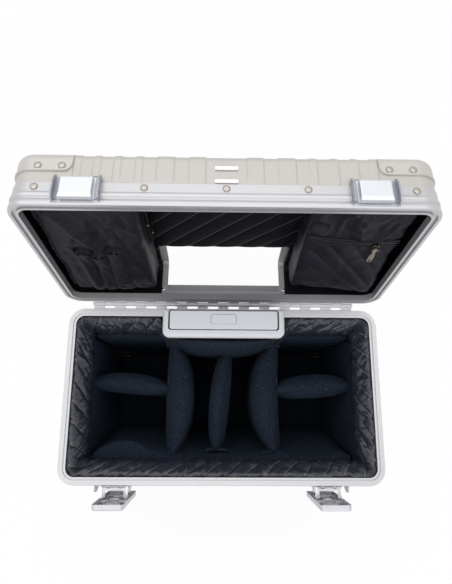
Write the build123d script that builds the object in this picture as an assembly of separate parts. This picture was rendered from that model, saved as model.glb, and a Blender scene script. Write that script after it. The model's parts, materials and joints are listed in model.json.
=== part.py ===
from build123d import *
import math
import os

# Upright aluminium rolling case, shown open: X to the right, Y to the back, Z up, floor at Z = 0.
# Everything is modelled with the closed case's front face at Y = 0, then moved to the part's own
# origin, the middle of the footprint. Lid pieces are modelled closed and swung open at the end.

# Driving dimensions, mm
case_w, case_d = 460.0, 250.0       # over the frame extrusions
corner_r, inner_r = 24.0, 8.0       # upright corners, and the least radius further in
body_bottom, body_top = 14.0, 320.0
lid_h = 70.0
lid_open = 101.2                    # degrees from closed to the open stop
hinge_back = 7.0                    # hinge pin behind the back face
gap = 0.3                           # between parts that move past each other
running = 0.05                      # between a pin and its hole

# Sheet skins and ribs
skin_inset, skin_t = 2.4, 1.4       # skin sits behind the frame flange
edge_r = 10.0                       # rounded top edge of the lid, bottom edge of the body
rib_h, rib_bevel, rib_end_r = 0.9, 2.0, 4.5
rib_gap = 35.0                      # rib ends from the parting plane
rib_spans = [(21, 41), (54.5, 75.5), (88, 98), (111, 121), (132.7, 142.4), (153, 163)]
side_rib_spans = [(-48, -36), (-20, -8), (8, 20), (36, 48)]     # about the middle of the depth
seat_w, seat_y0, seat_y1 = 88.0, 92.0, 176.0                    # flat seat of the carry handle

# Frame extrusions, guards and trim
frame_t, frame_w, frame_deep, flange = 1.2, 11.5, 9.5, 28.0
groove_in = 1.8                     # floor of the groove between the two bands
tongue_in, tongue_out, tongue_h = 5.3, 7.9, 2.2
guard_reach, guard_r, guard_t = 67.0, 10.0, 1.2
lip_tiers = [(0.4, 0.0, 3.0), (0.8, 0.5, 2.4)]                  # rolled edge: height, start and end
guard_foot = 43.0                   # lower edge of the lid guards above the parting plane
trim_rows = (31.8, 48.8)            # two trim bars on the lid's front, above the parting plane

# Trolley
tower_top, tower_foot = body_top + 69.0, body_top - 40.0
tower_in, tower_r, boss_half = 0.8, 3.0, 60.0                   # tower's sides behind the bezel's
bezel_w, bezel_y0, bezel_y1 = 165.0, 198.0, 237.6
bezel_h, bezel_r, bezel_edge = 9.0, 9.0, 5.0
pocket_w, pocket_y0, pocket_y1, pocket_deep = 150.0, 207.6, 235.8, 53.0     # hollow for the grip
grip_w, grip_y0, grip_y1, grip_h = 146.0, 209.0, 234.4, 22.0
finger_half = 43.0                  # gap for the fingers under the grip
button_w, button_d, button_h, button_travel, button_y = 34.5, 13.0, 4.0, 2.5, 223.0
tube_x, tube_y = 55.0, 226.0
tube_sizes = [(22.0, 15.0), (19.0, 12.0), (16.0, 9.0)]          # outer, middle, inner
tube_wall, tube_r = 1.2, 2.5
tube_foot, tube_step, socket_deep = 30.0, 4.0, 6.0              # lower end, rise per stage, into the grip

# Lid window
window_w, window_y0, window_s0 = 169.6, 194.5, 16.0
window_flange, window_t, window_foot, lip_t = 9.5, 1.2, 10.0, 1.0

# Hinge
knuckle_w, knuckle_count, knuckle_r = 15.5, 25, 3.2
pin_r, leaf_t, leaf_w = 1.5, 1.5, 24.0

# Latches
latch_x = 154.0
fin_span, fin_t, fin_proud, fin_reach = 48.4, 1.5, 8.0, 9.5
plate_t, ear_x0, ear_x1, ear_r = 0.6, 6.0, 11.0, 2.4
link_x, link_len, link_rod, link_t, arm_r = 19.0, 20.0, 1.5, 2.2, 2.5
link_z, link_y = body_top - 28.0, -5.0
lever_w, lever_t, lever_wall = 43.0, 8.0, 1.2
lever_low, lever_high = -92.0, 16.0         # ends in the open pose, from the parting plane
lever_out = link_y - link_len - 4.0         # outer plate of the open lever
plug_r, plug_drop = 5.0, 76.0
catch_half, catch_z = 10.0, body_top - 15.5     # half width and top of the sliding catch
pad_w, pad_s0, pad_s1, pad_proud = 34.0, 9.0, 32.5, 6.6

# Wheels, feet
wheel_x, wheel_y, wheel_r, wheel_w = 190.0, 238.0, 22.0, 20.0
axle_r, hub_r, web_r, wheel_clear = 3.0, 9.0, 14.0, 3.0
well_w, well_y0, well_top, bay_half = 36.0, 209.0, 54.0, 11.5
foot_x, foot_y, foot_r = 186.0, 34.0, 14.0

# Padded insert
well_x, well_front, well_back = 199.0, 33.0, 212.0              # clear inside of the padding
floor_top, floor_under, floor_back = 38.0, 24.0, 217.0
pad_top, pad_mid = body_top - 42.0, body_top - 120.0            # walls' top edge, middle of their slope
front_foot, front_mid = 72.0, 48.0                              # slope of the front pad
front_wave = [(-196, 7), (-167, 17), (-137, 14), (-100, 6), (-60, 1), (196, 3)]     # its top edge inwards
bulge_half, bulge_y, bulge_out = 93.0, 204.0, 15.0              # pad that swells round the tower
roll_w, roll_lip, roll_turn, roll_deep = 31.0, 18.0, 20.0, 41.0     # soft roll under the rim
divider_top = body_top - 48.0
divider_end = 12.0                  # thickness at the tabs
divider_swell = [(-0.75, 0.6), (-0.35, 0.98), (0.3, 0.98), (0.72, 0.55)]    # share of the swell along it
divider_plan = [                    # name, two ends in plan, swell to the left and right of that line
    ("left_long", (-79, 198), (-79, 41), 31, 9), ("right_long", (84.5, 199), (84.5, 45), 5, 38),
    ("middle", (7.5, 187), (-9, 46), 10, 17),
    ("left_cross", (-198, 143), (-90.5, 132), 19, 10), ("right_cross", (92, 132), (198, 141), 20, 14)]

# Lid lining, pockets and zips
lining_t = 4.0
organiser_x, organiser_y, organiser_face = (97.0, 214.0), (24.0, 230.0), 14.0   # face above parting plane
organiser_r, organiser_soft = 10.0, 8.0     # upright corners, and the edge of the face
pull_plan = {"left": (-97, 106, 43), "right": (184, 101, 14)}                   # middle of each slider
pull_lift, pull_rod, pull_len, pull_t = 5.2, 0.9, 30.0, 1.2
slider_w, slider_l, tab_w, tab_l = 8.0, 12.0, 7.0, 18.0

# Carry handle on the lid
handle_y, handle_half, handle_reach, handle_r, handle_pivot = 118.0, 62.0, 40.0, 7.0, 9.0
handle_pin, eye_r, arm_w, bracket_w, bracket_d = 3.0, 6.5, 9.0, 18.0, 28.0

hinge_y = case_d + hinge_back
open_rad = math.radians(lid_open)
back_reach = hinge_y + hinge_y * -math.cos(open_rad) + lid_h * math.sin(open_rad)
middle_y = (back_reach + lever_out) / 2     # footprint middle, from the front face


def block(x0, x1, y0, y1, z0, z1):
    """Box between six planes."""
    return Pos((x0 + x1) / 2, (y0 + y1) / 2, (z0 + z1) / 2) * Box(x1 - x0, y1 - y0, z1 - z0)


def plan_at(inset, z):
    """The case's plan set in by a distance on every side, at a height."""
    return Pos(0, case_d / 2, z) * RectangleRounded(
        case_w - 2 * inset, case_d - 2 * inset, max(corner_r - inset, inner_r))


def tower(inset, z0, z1):
    """Upright prism of the case's plan, set in by a distance on every side."""
    return extrude(plan_at(inset, z0), z1 - z0)


def sketch_face(points):
    return make_face(Polyline(points, close=True))


def both_sides(shape):
    """A piece and its mirror image across the middle of the case."""
    return shape + mirror(shape, Plane.YZ)


def rod(p0, p1, radius):
    """Round bar between two points."""
    run = Vector(*p1) - Vector(*p0)
    return extrude(Plane(origin=p0, z_dir=run) * Circle(radius), run.length)


def frame_ring(section, z):
    """Extrusion bent round the case; the section is in (inset, height)."""
    path = (Pos(0, case_d / 2, z) * RectangleRounded(case_w, case_d, corner_r)).wire()
    run = path % 0
    start = Plane(origin=path @ 0, x_dir=Vector(0, 0, 1).cross(run), z_dir=run)
    return sweep(start * section, path=path)


def frame_section(up, edge):
    """Rim extrusion: two convex bands, a riveting flange over the skin and a square inner bead."""
    def band(z0, z1):
        return ThreePointArc((frame_t, up * z0), (0, up * (z0 + z1) / 2), (frame_t, up * z1))
    outline = [band(edge, 8.0), band(11.0, 17.0)]
    outline.append(Polyline(
        (frame_t, up * 8.0), (groove_in, up * 8.6), (groove_in, up * 10.4), (frame_t, up * 11.0)))
    outline.append(Polyline(
        (frame_t, up * 17.0), (frame_t, up * flange), (skin_inset, up * flange),
        (skin_inset, up * frame_deep), (frame_w, up * frame_deep), (frame_w, up * edge),
        (frame_t, up * edge)))
    return make_face([edge_curve for line in outline for edge_curve in line.edges()])


def soft_box(inset, z0, z1, round_top):
    """Prism of the case's plan with one end rounded over."""
    body = tower(inset, z0, z1)
    end = body.faces().sort_by(Axis.Z)[-1 if round_top else 0]
    return fillet(end.edges(), edge_r + skin_inset - inset)


def rib_section(width):
    """Trapezoid of a pressed rib, a little sunk into the skin; its height is along local Y."""
    half, top = width / 2, width / 2 - rib_bevel
    return sketch_face([(-half, 0.4), (half, 0.4), (half, 0), (top, -rib_h), (-top, -rib_h), (-half, 0)])


def rib_end(x0, x1, y, z, outward):
    """Round-cornered end of a rib on the front or the back wall."""
    flat = Plane(origin=(0, y, 0), x_dir=(-outward, 0, 0), z_dir=(0, outward, 0)).offset(-0.4)
    centre = Pos(-outward * (x0 + x1) / 2, z)
    taper = math.degrees(math.atan(rib_bevel / rib_h))
    pad = extrude(flat * centre * RectangleRounded(x1 - x0, 2 * rib_end_r + 4, rib_end_r), 0.4)
    top = extrude(flat.offset(0.4) * centre * RectangleRounded(x1 - x0, 2 * rib_end_r + 4, rib_end_r),
                  rib_h, taper=taper)
    return pad + top


def wrap_ribs(z_end, z_turn):
    """Ribs that run up the front wall, across the closed end and down the back wall."""
    front, back = skin_inset, case_d - skin_inset
    up = math.copysign(1, z_turn - z_end)
    straps = []
    for x0, x1 in rib_spans:
        path = FilletPolyline(
            (0, front, z_end), (0, front, z_turn), (0, back, z_turn), (0, back, z_end), radius=edge_r)
        start = Plane(origin=((x0 + x1) / 2, front, z_end), x_dir=(up, 0, 0), z_dir=(0, 0, up))
        strap = sweep(start * rib_section(x1 - x0), path=Pos((x0 + x1) / 2, 0, 0) * path)
        ends = [rib_end(x0, x1, y, z_end, side) for y, side in ((front, -1), (back, 1))]
        straps.append(strap + ends)
    return both_sides(Part() + straps)


def side_ribs(z0, z1):
    """Shorter upright ribs on the two side walls."""
    wall = Plane(origin=(case_w / 2 - skin_inset - 0.4, case_d / 2, (z0 + z1) / 2),
                 x_dir=(0, 1, 0), z_dir=(1, 0, 0))
    bars = [
        extrude(wall * Pos((a + b) / 2, 0) * RectangleRounded(b - a, z1 - z0, rib_end_r),
                rib_h + 0.4, taper=math.degrees(math.atan(rib_bevel / rib_h)))
        for a, b in side_rib_spans]
    return both_sides(Part() + bars)


def skin(z_open, z_end, rib_foot, side_ends):
    """Pressed sheet tub with its ribs; it closes at z_end and is open at z_open."""
    closed_up = z_end > z_open
    low, high = min(z_open, z_end), max(z_open, z_end)
    lift = skin_t if closed_up else -skin_t
    tub = soft_box(skin_inset, low, high, closed_up)
    tub -= soft_box(skin_inset + skin_t, low - lift, high - lift, closed_up)
    return tub + wrap_ribs(rib_foot, z_end) + side_ribs(*side_ends)


def corner_guards(z_edge, z_end, sides):
    """Pressed caps over the corners of the closed end, with rounded lobes and a rolled edge."""
    up = z_end > z_edge
    low, high = min(z_edge, z_end), max(z_edge, z_end)
    over = guard_t if up else -guard_t
    far, tall = 2 * guard_reach, 2 * (high - low)
    cap = soft_box(skin_inset - guard_t, low + min(over, 0), high + max(over, 0), up)

    def lobes(less):
        radius = guard_r - less
        across = RectangleRounded(far - 2 * less, far - 2 * less, radius)
        upright = RectangleRounded(far - 2 * less, tall - 2 * less, radius)
        corner = extrude(Plane.XY.offset(-10) * Pos(case_w / 2, 0) * across, 500)
        corner &= extrude(Plane.XZ.offset(50) * Pos(case_w / 2, z_end) * upright, -200)
        return corner & extrude(Plane.YZ * Pos(0, z_end) * upright, 300)
    corner = (cap - soft_box(skin_inset, low - up, high + (not up), up)) & lobes(0)
    foot, shoulder = sorted((z_edge, z_end - edge_r if up else z_end + edge_r))
    wall = skin_inset - guard_t
    for height, start, end in lip_tiers:
        corner += (tower(wall - height, foot, shoulder) - tower(wall + 0.2, foot, shoulder)) & (
            lobes(start) - lobes(end))
    if sides == "front":
        return both_sides(corner)
    return both_sides(corner + mirror(corner, Plane.XZ.offset(-case_d / 2)))


nodes = {}          # name -> solid, in the closed case's axes
in_lid = set()      # names of the nodes that swing with the lid


def add(name, shape, on_lid=False):
    nodes[name] = shape
    if on_lid:
        in_lid.add(name)


def add_pair(name, shape, on_lid=False):
    """A right-hand piece and its mirror image on the left."""
    add(name + "_right", shape, on_lid)
    add(name + "_left", mirror(shape, Plane.YZ), on_lid)


def body_shell():
    shell = skin(body_top - frame_deep, body_bottom + guard_t, body_top - rib_gap, (62, 288))
    wells = both_sides(block(
        wheel_x - well_w / 2, wheel_x + well_w / 2, well_y0, case_d + 5, 0, well_top))
    shell -= wells + latch_seats(-1, skin_inset)
    seam = body_bottom + 2 * edge_r
    above = block(-case_w, case_w, -case_d, 2 * case_d, seam, body_top + 1)
    add("base_shell_walls", shell & above)
    add("base_bottom_tray", shell - above)
    frame = frame_ring(frame_section(-1, 0) + tongue(), body_top)
    add("base_rim_frame", frame - hinge_seat(-1) - latch_seats(-1, frame_t))
    add("base_corner_guards", corner_guards(body_bottom + 28, body_bottom + guard_t, "front"))


def hinge_seat(up):
    """Flat on the frame's bands that a hinge leaf lies against."""
    half = knuckle_w * knuckle_count / 2 + gap
    low, high = sorted((0, up * (leaf_w + gap)))
    return block(-half, half, case_d - frame_t, case_d + 1, body_top + low - 1, body_top + high + 1)


def latch_seats(up, depth):
    """Flats on the front for the latch plates, cut back to a depth behind the front face."""
    half = fin_span / 2 + gap
    low, high = sorted((up * 2.0, up * 46.5))
    return both_sides(block(latch_x - half, latch_x + half, -5, depth, body_top + low, body_top + high))


def tongue():
    """Ridge on the body's rim that enters the groove of the lid."""
    return Pos((tongue_in + tongue_out) / 2, tongue_h / 2 - 1) * Rectangle(
        tongue_out - tongue_in, tongue_h + 2)


def lid_rim_section():
    """Lid extrusion with the groove that takes the body's ridge."""
    groove = Pos((tongue_in + tongue_out) / 2, tongue_h / 2) * Rectangle(
        tongue_out - tongue_in + 1.6, tongue_h + 1.2)
    return frame_section(1, gap) - groove


def window_cut(grow, s0, over):
    """Opening through the lid's back wall and top wall, round the edge between them."""
    half = window_w / 2 + grow
    return block(-half, half, window_y0 - grow, case_d + 5, body_top + s0, body_top + lid_h + over)


def lid_shell():
    end = body_top + lid_h - guard_t
    shell = skin(body_top + frame_deep, end, body_top + rib_gap, (body_top + 32, body_top + 54))
    seat = extrude(Pos(0, (seat_y0 + seat_y1) / 2, end) * RectangleRounded(
        2 * seat_w, seat_y1 - seat_y0, guard_r), 2 * rib_h)
    shell -= window_cut(0, window_s0, 5) + seat
    shell -= both_sides(block(latch_x - fin_span / 2 - gap, latch_x + fin_span / 2 + gap, -5, skin_inset,
                              body_top, body_top + 36.5))
    add("lid_shell", shell, True)
    frame = frame_ring(lid_rim_section(), body_top)
    add("lid_rim_frame", frame - hinge_seat(1) - latch_seats(1, frame_t), True)
    guards = corner_guards(body_top + guard_foot, end, "all")
    add("lid_corner_guards", guards, True)
    bars = [
        extrude(Plane.XZ.offset(-skin_inset) * Pos(0, body_top + s) * RectangleRounded(24.7, 4.4, 1.0), 1.2)
        for s in trim_rows]
    add("lid_trim_bars", Part() + bars, True)


def window_frame():
    """Angle frame screwed inside the window: two side legs and a bar on the top wall."""
    inner = skin_inset + skin_t
    out = soft_box(inner, body_top + window_foot, body_top + lid_h - guard_t - skin_t, True)
    plate = out - soft_box(inner + window_t, body_top, body_top + lid_h - guard_t - skin_t - window_t, True)
    plate &= window_cut(window_flange, window_foot, 0)
    plate -= window_cut(0, window_s0, 5)
    lip_out = window_cut(0, window_s0, 0) - window_cut(-lip_t, window_s0 + lip_t, 0)
    lip = lip_out & soft_box(skin_inset + 0.2, body_top, body_top + lid_h - guard_t - 0.2, True)
    lip -= soft_box(inner + window_t + lip_t, body_top,
                    body_top + lid_h - guard_t - skin_t - window_t - lip_t, True)
    add("lid_window_frame", plate + lip, True)


def trolley():
    """Tower on the back wall with a bezel, and three nested pairs of tubes under the grip."""
    def plan(grow):
        outline = Pos(0, (bezel_y0 + bezel_y1) / 2) * Rectangle(
            bezel_w - 2 * grow, bezel_y1 - bezel_y0 - 2 * grow)
        front = outline.vertices().sort_by(Axis.Y)[:2]
        outline = fillet(front, bezel_r - grow)
        return fillet(outline.vertices().sort_by(Axis.Y)[-2:], tower_r - grow)
    collar = tower_top - bezel_h
    floor = tower_top - pocket_deep
    pocket = extrude(Pos(0, (pocket_y0 + pocket_y1) / 2, floor) * RectangleRounded(
        pocket_w, pocket_y1 - pocket_y0, 4), pocket_deep + 1)
    tube_hole = both_sides(extrude(
        Pos(tube_x, tube_y, tube_foot) * RectangleRounded(*tube_sizes[0], tube_r), floor - tube_foot))
    reach_in = block(-finger_half, finger_half, pocket_y1 - 5, bezel_y1 + 5, floor + 1, collar - 6)
    body = extrude(Pos(0, 0, tower_foot) * plan(tower_in), collar - tower_foot)
    boss = block(-boss_half, boss_half, bezel_y1 - 4, case_d - skin_inset - skin_t, tower_foot,
                 body_top - 16)
    add("trolley_tower", body + boss - pocket - tube_hole - reach_in)
    bezel = extrude(Pos(0, 0, collar) * plan(0), bezel_h)
    front = bezel.edges().filter_by(Axis.X).group_by(Axis.Z)[-1].sort_by(Axis.Y)[0]
    add("trolley_bezel", fillet(front, bezel_edge) - pocket)

    lengths = [(tube_foot, floor), (tube_foot + tube_step, floor + tube_step),
               (tube_foot + 2 * tube_step, tower_top - grip_h + socket_deep)]
    for name, (z0, z1), (w, d) in zip(("outer", "middle", "inner"), lengths, tube_sizes):
        ring = RectangleRounded(w, d, tube_r)
        ring -= RectangleRounded(w - 2 * tube_wall, d - 2 * tube_wall, tube_r - 1)
        add(f"trolley_{name}_tubes", both_sides(extrude(Pos(tube_x, tube_y, z0) * ring, z1 - z0)))
    foot = block(-tube_x - 16, tube_x + 16, tube_y - 11, tube_y + 8,
                 body_bottom + guard_t + skin_t, tube_foot)
    nodes["trolley_outer_tubes"] += foot

    grip_mid = (grip_y0 + grip_y1) / 2
    grip = extrude(Pos(0, grip_mid, tower_top - grip_h) * RectangleRounded(grip_w, grip_y1 - grip_y0, 3),
                   grip_h)
    grip = fillet(grip.faces().sort_by(Axis.Z)[-1].edges(), 1.2)
    grip = fillet(grip.faces().sort_by(Axis.Z)[0].edges(), 2.5)
    recess_h = button_h + button_travel + 0.5
    recess = extrude(Pos(0, button_y, tower_top - recess_h) * RectangleRounded(
        button_w + 2 * gap, button_d + 2 * gap, 4), recess_h + 1)
    sockets = both_sides(extrude(Pos(tube_x, tube_y, tower_top - grip_h - 1) * RectangleRounded(
        *tube_sizes[2], tube_r), socket_deep + 1))
    add("trolley_grip", grip - recess - sockets)
    button = extrude(Pos(0, button_y, tower_top - button_h) * RectangleRounded(button_w, button_d, 3.7),
                     button_h)
    add("trolley_button", fillet(button.faces().sort_by(Axis.Z)[-1].edges(), 0.8))


def hinge():
    """Piano hinge: two leaves whose alternate knuckles share one pin behind the back wall."""
    first = -knuckle_w * knuckle_count / 2
    spans = [(first + i * knuckle_w, first + (i + 1) * knuckle_w) for i in range(knuckle_count)]
    half = -first
    barrel = rod((-half, hinge_y, body_top), (half, hinge_y, body_top), knuckle_r)
    back = case_d - frame_t
    for name, up, keep in (("hinge_base_leaf", -1, 0), ("hinge_lid_leaf", 1, 1)):
        hole = pin_r + running * keep
        bore = rod((-half - 1, hinge_y, body_top), (half + 1, hinge_y, body_top), hole)
        plate = block(-half, half, back, back + leaf_t, body_top + min(up * 2.0, up * leaf_w),
                      body_top + max(up * 2.0, up * leaf_w))
        web = extrude(Plane.YZ.offset(-half) * sketch_face([
            (back + leaf_t, body_top + up * 6.0), (hinge_y + 1.0, body_top + up * 2.9),
            (hinge_y - 2.5, body_top + up * 0.5), (back, body_top + up * 2.0), (back, body_top + up * 6.0)]),
            2 * half)
        gaps = [
            block(a - gap / 2, b + gap / 2, back + leaf_t + 0.2, hinge_y + 6, body_top - 9, body_top + 9)
            for i, (a, b) in enumerate(spans) if i % 2 != keep]
        add(name, plate + ((web + barrel) - bore - gaps), up == 1)
    add("hinge_pin", rod((-half - 1.5, hinge_y, body_top), (half + 1.5, hinge_y, body_top), pin_r))


def fin(outline, x):
    """Thin upright cheek of a latch piece, outlined in (distance out of the face, height)."""
    return extrude(Plane.YZ.offset(x) * sketch_face([(-out, z) for out, z in outline]), fin_t)


def latches():
    """Draw latches: cheeked base plate, U-shaped link and a hollow lever with its lock inside."""
    x = latch_x
    low, high = body_top - 46.0, body_top - 5.0
    cheek = [(-frame_t, low + 3), (1.0, low), (2.5, low + 12), (fin_reach, high - 15),
             (fin_reach, high - 5), (fin_reach - 3, high), (-frame_t, high - 3)]
    cheeks = fin(cheek, fin_span / 2 - fin_t) + fin(cheek, -fin_span / 2)
    plate = block(-fin_span / 2, fin_span / 2, -plate_t, frame_t, low + 3, high - 3)
    ear = Plane.YZ.offset(ear_x0) * (
        Pos(link_y, link_z) * Circle(ear_r) + Pos(link_y / 2, link_z) * Rectangle(-link_y, 2 * ear_r))
    ears = both_sides(extrude(ear, ear_x1 - ear_x0))
    bore = rod((-link_x, link_y, link_z), (link_x, link_y, link_z), link_rod + running)
    add_pair("latch_bracket", Pos(x, 0, 0) * (plate + cheeks + ears - bore))

    pivot_y = link_y - link_len
    arm = Pos(0, 0, link_z) * extrude(Plane.YZ.offset(link_x - link_t) * (
        Pos(link_y, 0) * Circle(arm_r) + Pos(pivot_y, 0) * Circle(arm_r)
        + Pos((link_y + pivot_y) / 2, 0) * Rectangle(link_len, 2 * arm_r)), link_t)
    pin_hole = rod((0, pivot_y, link_z), (link_x + 1, pivot_y, link_z), pin_r + running)
    link = both_sides(arm - pin_hole) + rod((-link_x, link_y, link_z), (link_x, link_y, link_z), link_rod)
    add_pair("latch_link", Pos(x, 0, 0) * link)

    z0, z1 = body_top + lever_low, body_top + lever_high
    tray = extrude(Plane.XZ.offset(-lever_out) * Pos(0, (z0 + z1) / 2) * RectangleRounded(
        lever_w, z1 - z0, 5), -lever_t)
    tray = fillet(tray.faces().sort_by(Axis.Y)[0].edges(), 2.5)
    hollow = extrude(Plane.XZ.offset(-lever_out - lever_wall) * Pos(0, (z0 + z1) / 2) * RectangleRounded(
        lever_w - 2 * lever_wall, z1 - z0 - 2 * lever_wall, 4), -lever_t)
    cross = rod((-lever_w / 2 + 0.4, pivot_y, link_z), (lever_w / 2 - 0.4, pivot_y, link_z), pin_r)
    rails = both_sides(block(catch_half + gap, catch_half + gap + 1.2, lever_out + lever_wall,
                             lever_out + lever_wall + 3, catch_z - 10, catch_z + 1))
    plug_z = body_top - plug_drop
    lock_hole = rod((0, lever_out - 1, plug_z), (0, lever_out + 5, plug_z), plug_r + running)
    boss = rod((0, lever_out + 0.5, plug_z), (0, lever_out + 4, plug_z), plug_r + 1.4)
    finger_lip = rod((-14, lever_out + 1.2, z0 + 0.6), (14, lever_out + 1.2, z0 + 0.6), 1.6)
    lever = tray - hollow + rails + boss + finger_lip - lock_hole + cross
    add_pair("latch_lever", Pos(x, 0, 0) * lever)

    plug = rod((0, lever_out + 0.2, plug_z), (0, lever_out + 4.6, plug_z), plug_r)
    plug -= block(-0.5, 0.5, lever_out, lever_out + 1.6, plug_z - 3, plug_z + 3)
    cam = extrude(Plane.XZ.offset(-lever_out - 4.6) * (
        Circle(7.5) - Pos(3.5, 0) * Circle(5.5) + Circle(3)), -1.4)
    add_pair("latch_lock", Pos(x, 0, 0) * (plug + Pos(0, 0, plug_z) * cam))

    slab = block(-catch_half, catch_half, lever_out + lever_wall + gap, lever_out + lever_wall + 2.7,
                 catch_z - 7.5, catch_z)
    nose = extrude(Plane.YZ.offset(-catch_half + 2) * sketch_face([
        (lever_out + lever_wall + 1, catch_z - 5), (lever_out + lever_t - 0.8, catch_z - 2.5),
        (lever_out + lever_t - 0.8, catch_z), (lever_out + lever_wall + 1, catch_z)]),
        2 * catch_half - 4)
    slot = block(-2, 2, lever_out, lever_out + lever_t, catch_z - 6.5, catch_z - 4.5)
    add_pair("latch_catch", Pos(x, 0, 0) * (slab + nose - slot))


def keepers():
    """Keeper on the lid's front: two cheeks with a smooth pad between them."""
    def height(s):
        return body_top + s
    cheek = [(-frame_t, height(5.4)), (fin_proud - 2, height(5.4)),
             (fin_proud, height(9)), (fin_proud, height(25)), (fin_proud - 3.2, height(33)),
             (1.5, height(36)), (-frame_t, height(35))]
    cheeks = fin(cheek, fin_span / 2 - fin_t) + fin(cheek, -fin_span / 2)
    plate = block(-fin_span / 2, fin_span / 2, -plate_t, frame_t, height(7), height(33))
    pad = extrude(Plane.YZ.offset(-pad_w / 2) * make_face(
        Polyline((0, height(pad_s0 - 3)), (-pad_proud + 1.4, height(pad_s0 - 3)),
                 (-pad_proud, height(pad_s0 + 1)), (-pad_proud, height(pad_s1 - 4))).edges()
        + ThreePointArc((-pad_proud, height(pad_s1 - 4)), (-pad_proud + 1.2, height(pad_s1 - 1.2)),
                        (-pad_proud + 4, height(pad_s1))).edges()
        + Polyline((-pad_proud + 4, height(pad_s1)), (0, height(pad_s1)), (0, height(pad_s0 - 3))).edges()),
        pad_w)
    pad = fillet(pad.edges().filter_by(Axis.Z), 1.5)
    add_pair("latch_keeper", Pos(latch_x, 0, 0) * (cheeks + plate + pad), True)


def wheels():
    """Wheels on fixed axles in housings let into the lower back corners, and front feet."""
    centre = (wheel_x, wheel_y, wheel_r)
    left, right = wheel_x - well_w / 2, wheel_x + well_w / 2
    shell = block(left, right, well_y0, case_d - skin_inset + 1.5, body_bottom - 1, well_top)
    shell = fillet(shell.edges().filter_by(Axis.X).sort_by(Axis.Z)[-2:], 4)
    shell += extrude(Plane.YZ.offset(left) * Pos(wheel_y, wheel_r) * Circle(hub_r), well_w)
    reach = wheel_r + wheel_clear
    bay = rod((wheel_x - bay_half, wheel_y, wheel_r), (wheel_x + bay_half, wheel_y, wheel_r), reach)
    bay += block(wheel_x - bay_half, wheel_x + bay_half, wheel_y - reach, wheel_y + reach, -5, wheel_r)
    hole = rod((left - 1, wheel_y, wheel_r), (right + 1, wheel_y, wheel_r), axle_r)
    add_pair("wheel_housing", shell - bay - hole)
    axle = rod((left + 0.2, wheel_y, wheel_r), (right - 0.2, wheel_y, wheel_r), axle_r)
    add("wheel_axles", both_sides(axle))
    half = wheel_w / 2
    tread = [(axle_r + running, -half + 1), (hub_r, -half + 1), (hub_r, -half + 3),
             (web_r, -half + 3), (web_r, -half), (wheel_r - 3, -half), (wheel_r, -half + 4)]
    section = tread + [(r, -x) for r, x in reversed(tread)]
    profile = Plane(origin=centre, x_dir=(0, 0, 1), z_dir=(0, -1, 0)) * sketch_face(section)
    add_pair("wheel", revolve(profile, Axis(centre, (1, 0, 0)), 360))
    foot = loft([Pos(foot_x, foot_y, 0) * Circle(foot_r - 2.5),
                 Pos(foot_x, foot_y, body_bottom) * Circle(foot_r)])
    add("base_feet", both_sides(foot))


def cushion(x0, x1, y0, y1, z0, z1, radius):
    body = block(x0, x1, y0, y1, z0, z1)
    return fillet(body.edges().filter_by(Axis.Z), radius)


def divider(p0, p1, left, right):
    """Padded divider, thin at its tabs and full in the middle, between two plan points."""
    run = Vector(*p1) - Vector(*p0)
    half, edge = run.length / 2, divider_end / 2

    def side(swell, way):
        bulge = [(along * half, way * (edge + full * (swell - edge))) for along, full in divider_swell]
        return Spline((-half, way * edge), *bulge, (half, way * edge))
    top, low = side(left, 1), side(right, -1)
    ends = [Line(top @ 0, low @ 0), Line(top @ 1, low @ 1)]
    plan = make_face([*top.edges(), *low.edges(), *(e for line in ends for e in line.edges())])
    angle = math.degrees(math.atan2(run.Y, run.X))
    middle = (Vector(*p0) + Vector(*p1)) / 2
    return extrude(Pos(middle.X, middle.Y, floor_top + gap) * Rot(0, 0, angle) * plan,
                   divider_top - floor_top - gap)


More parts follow.
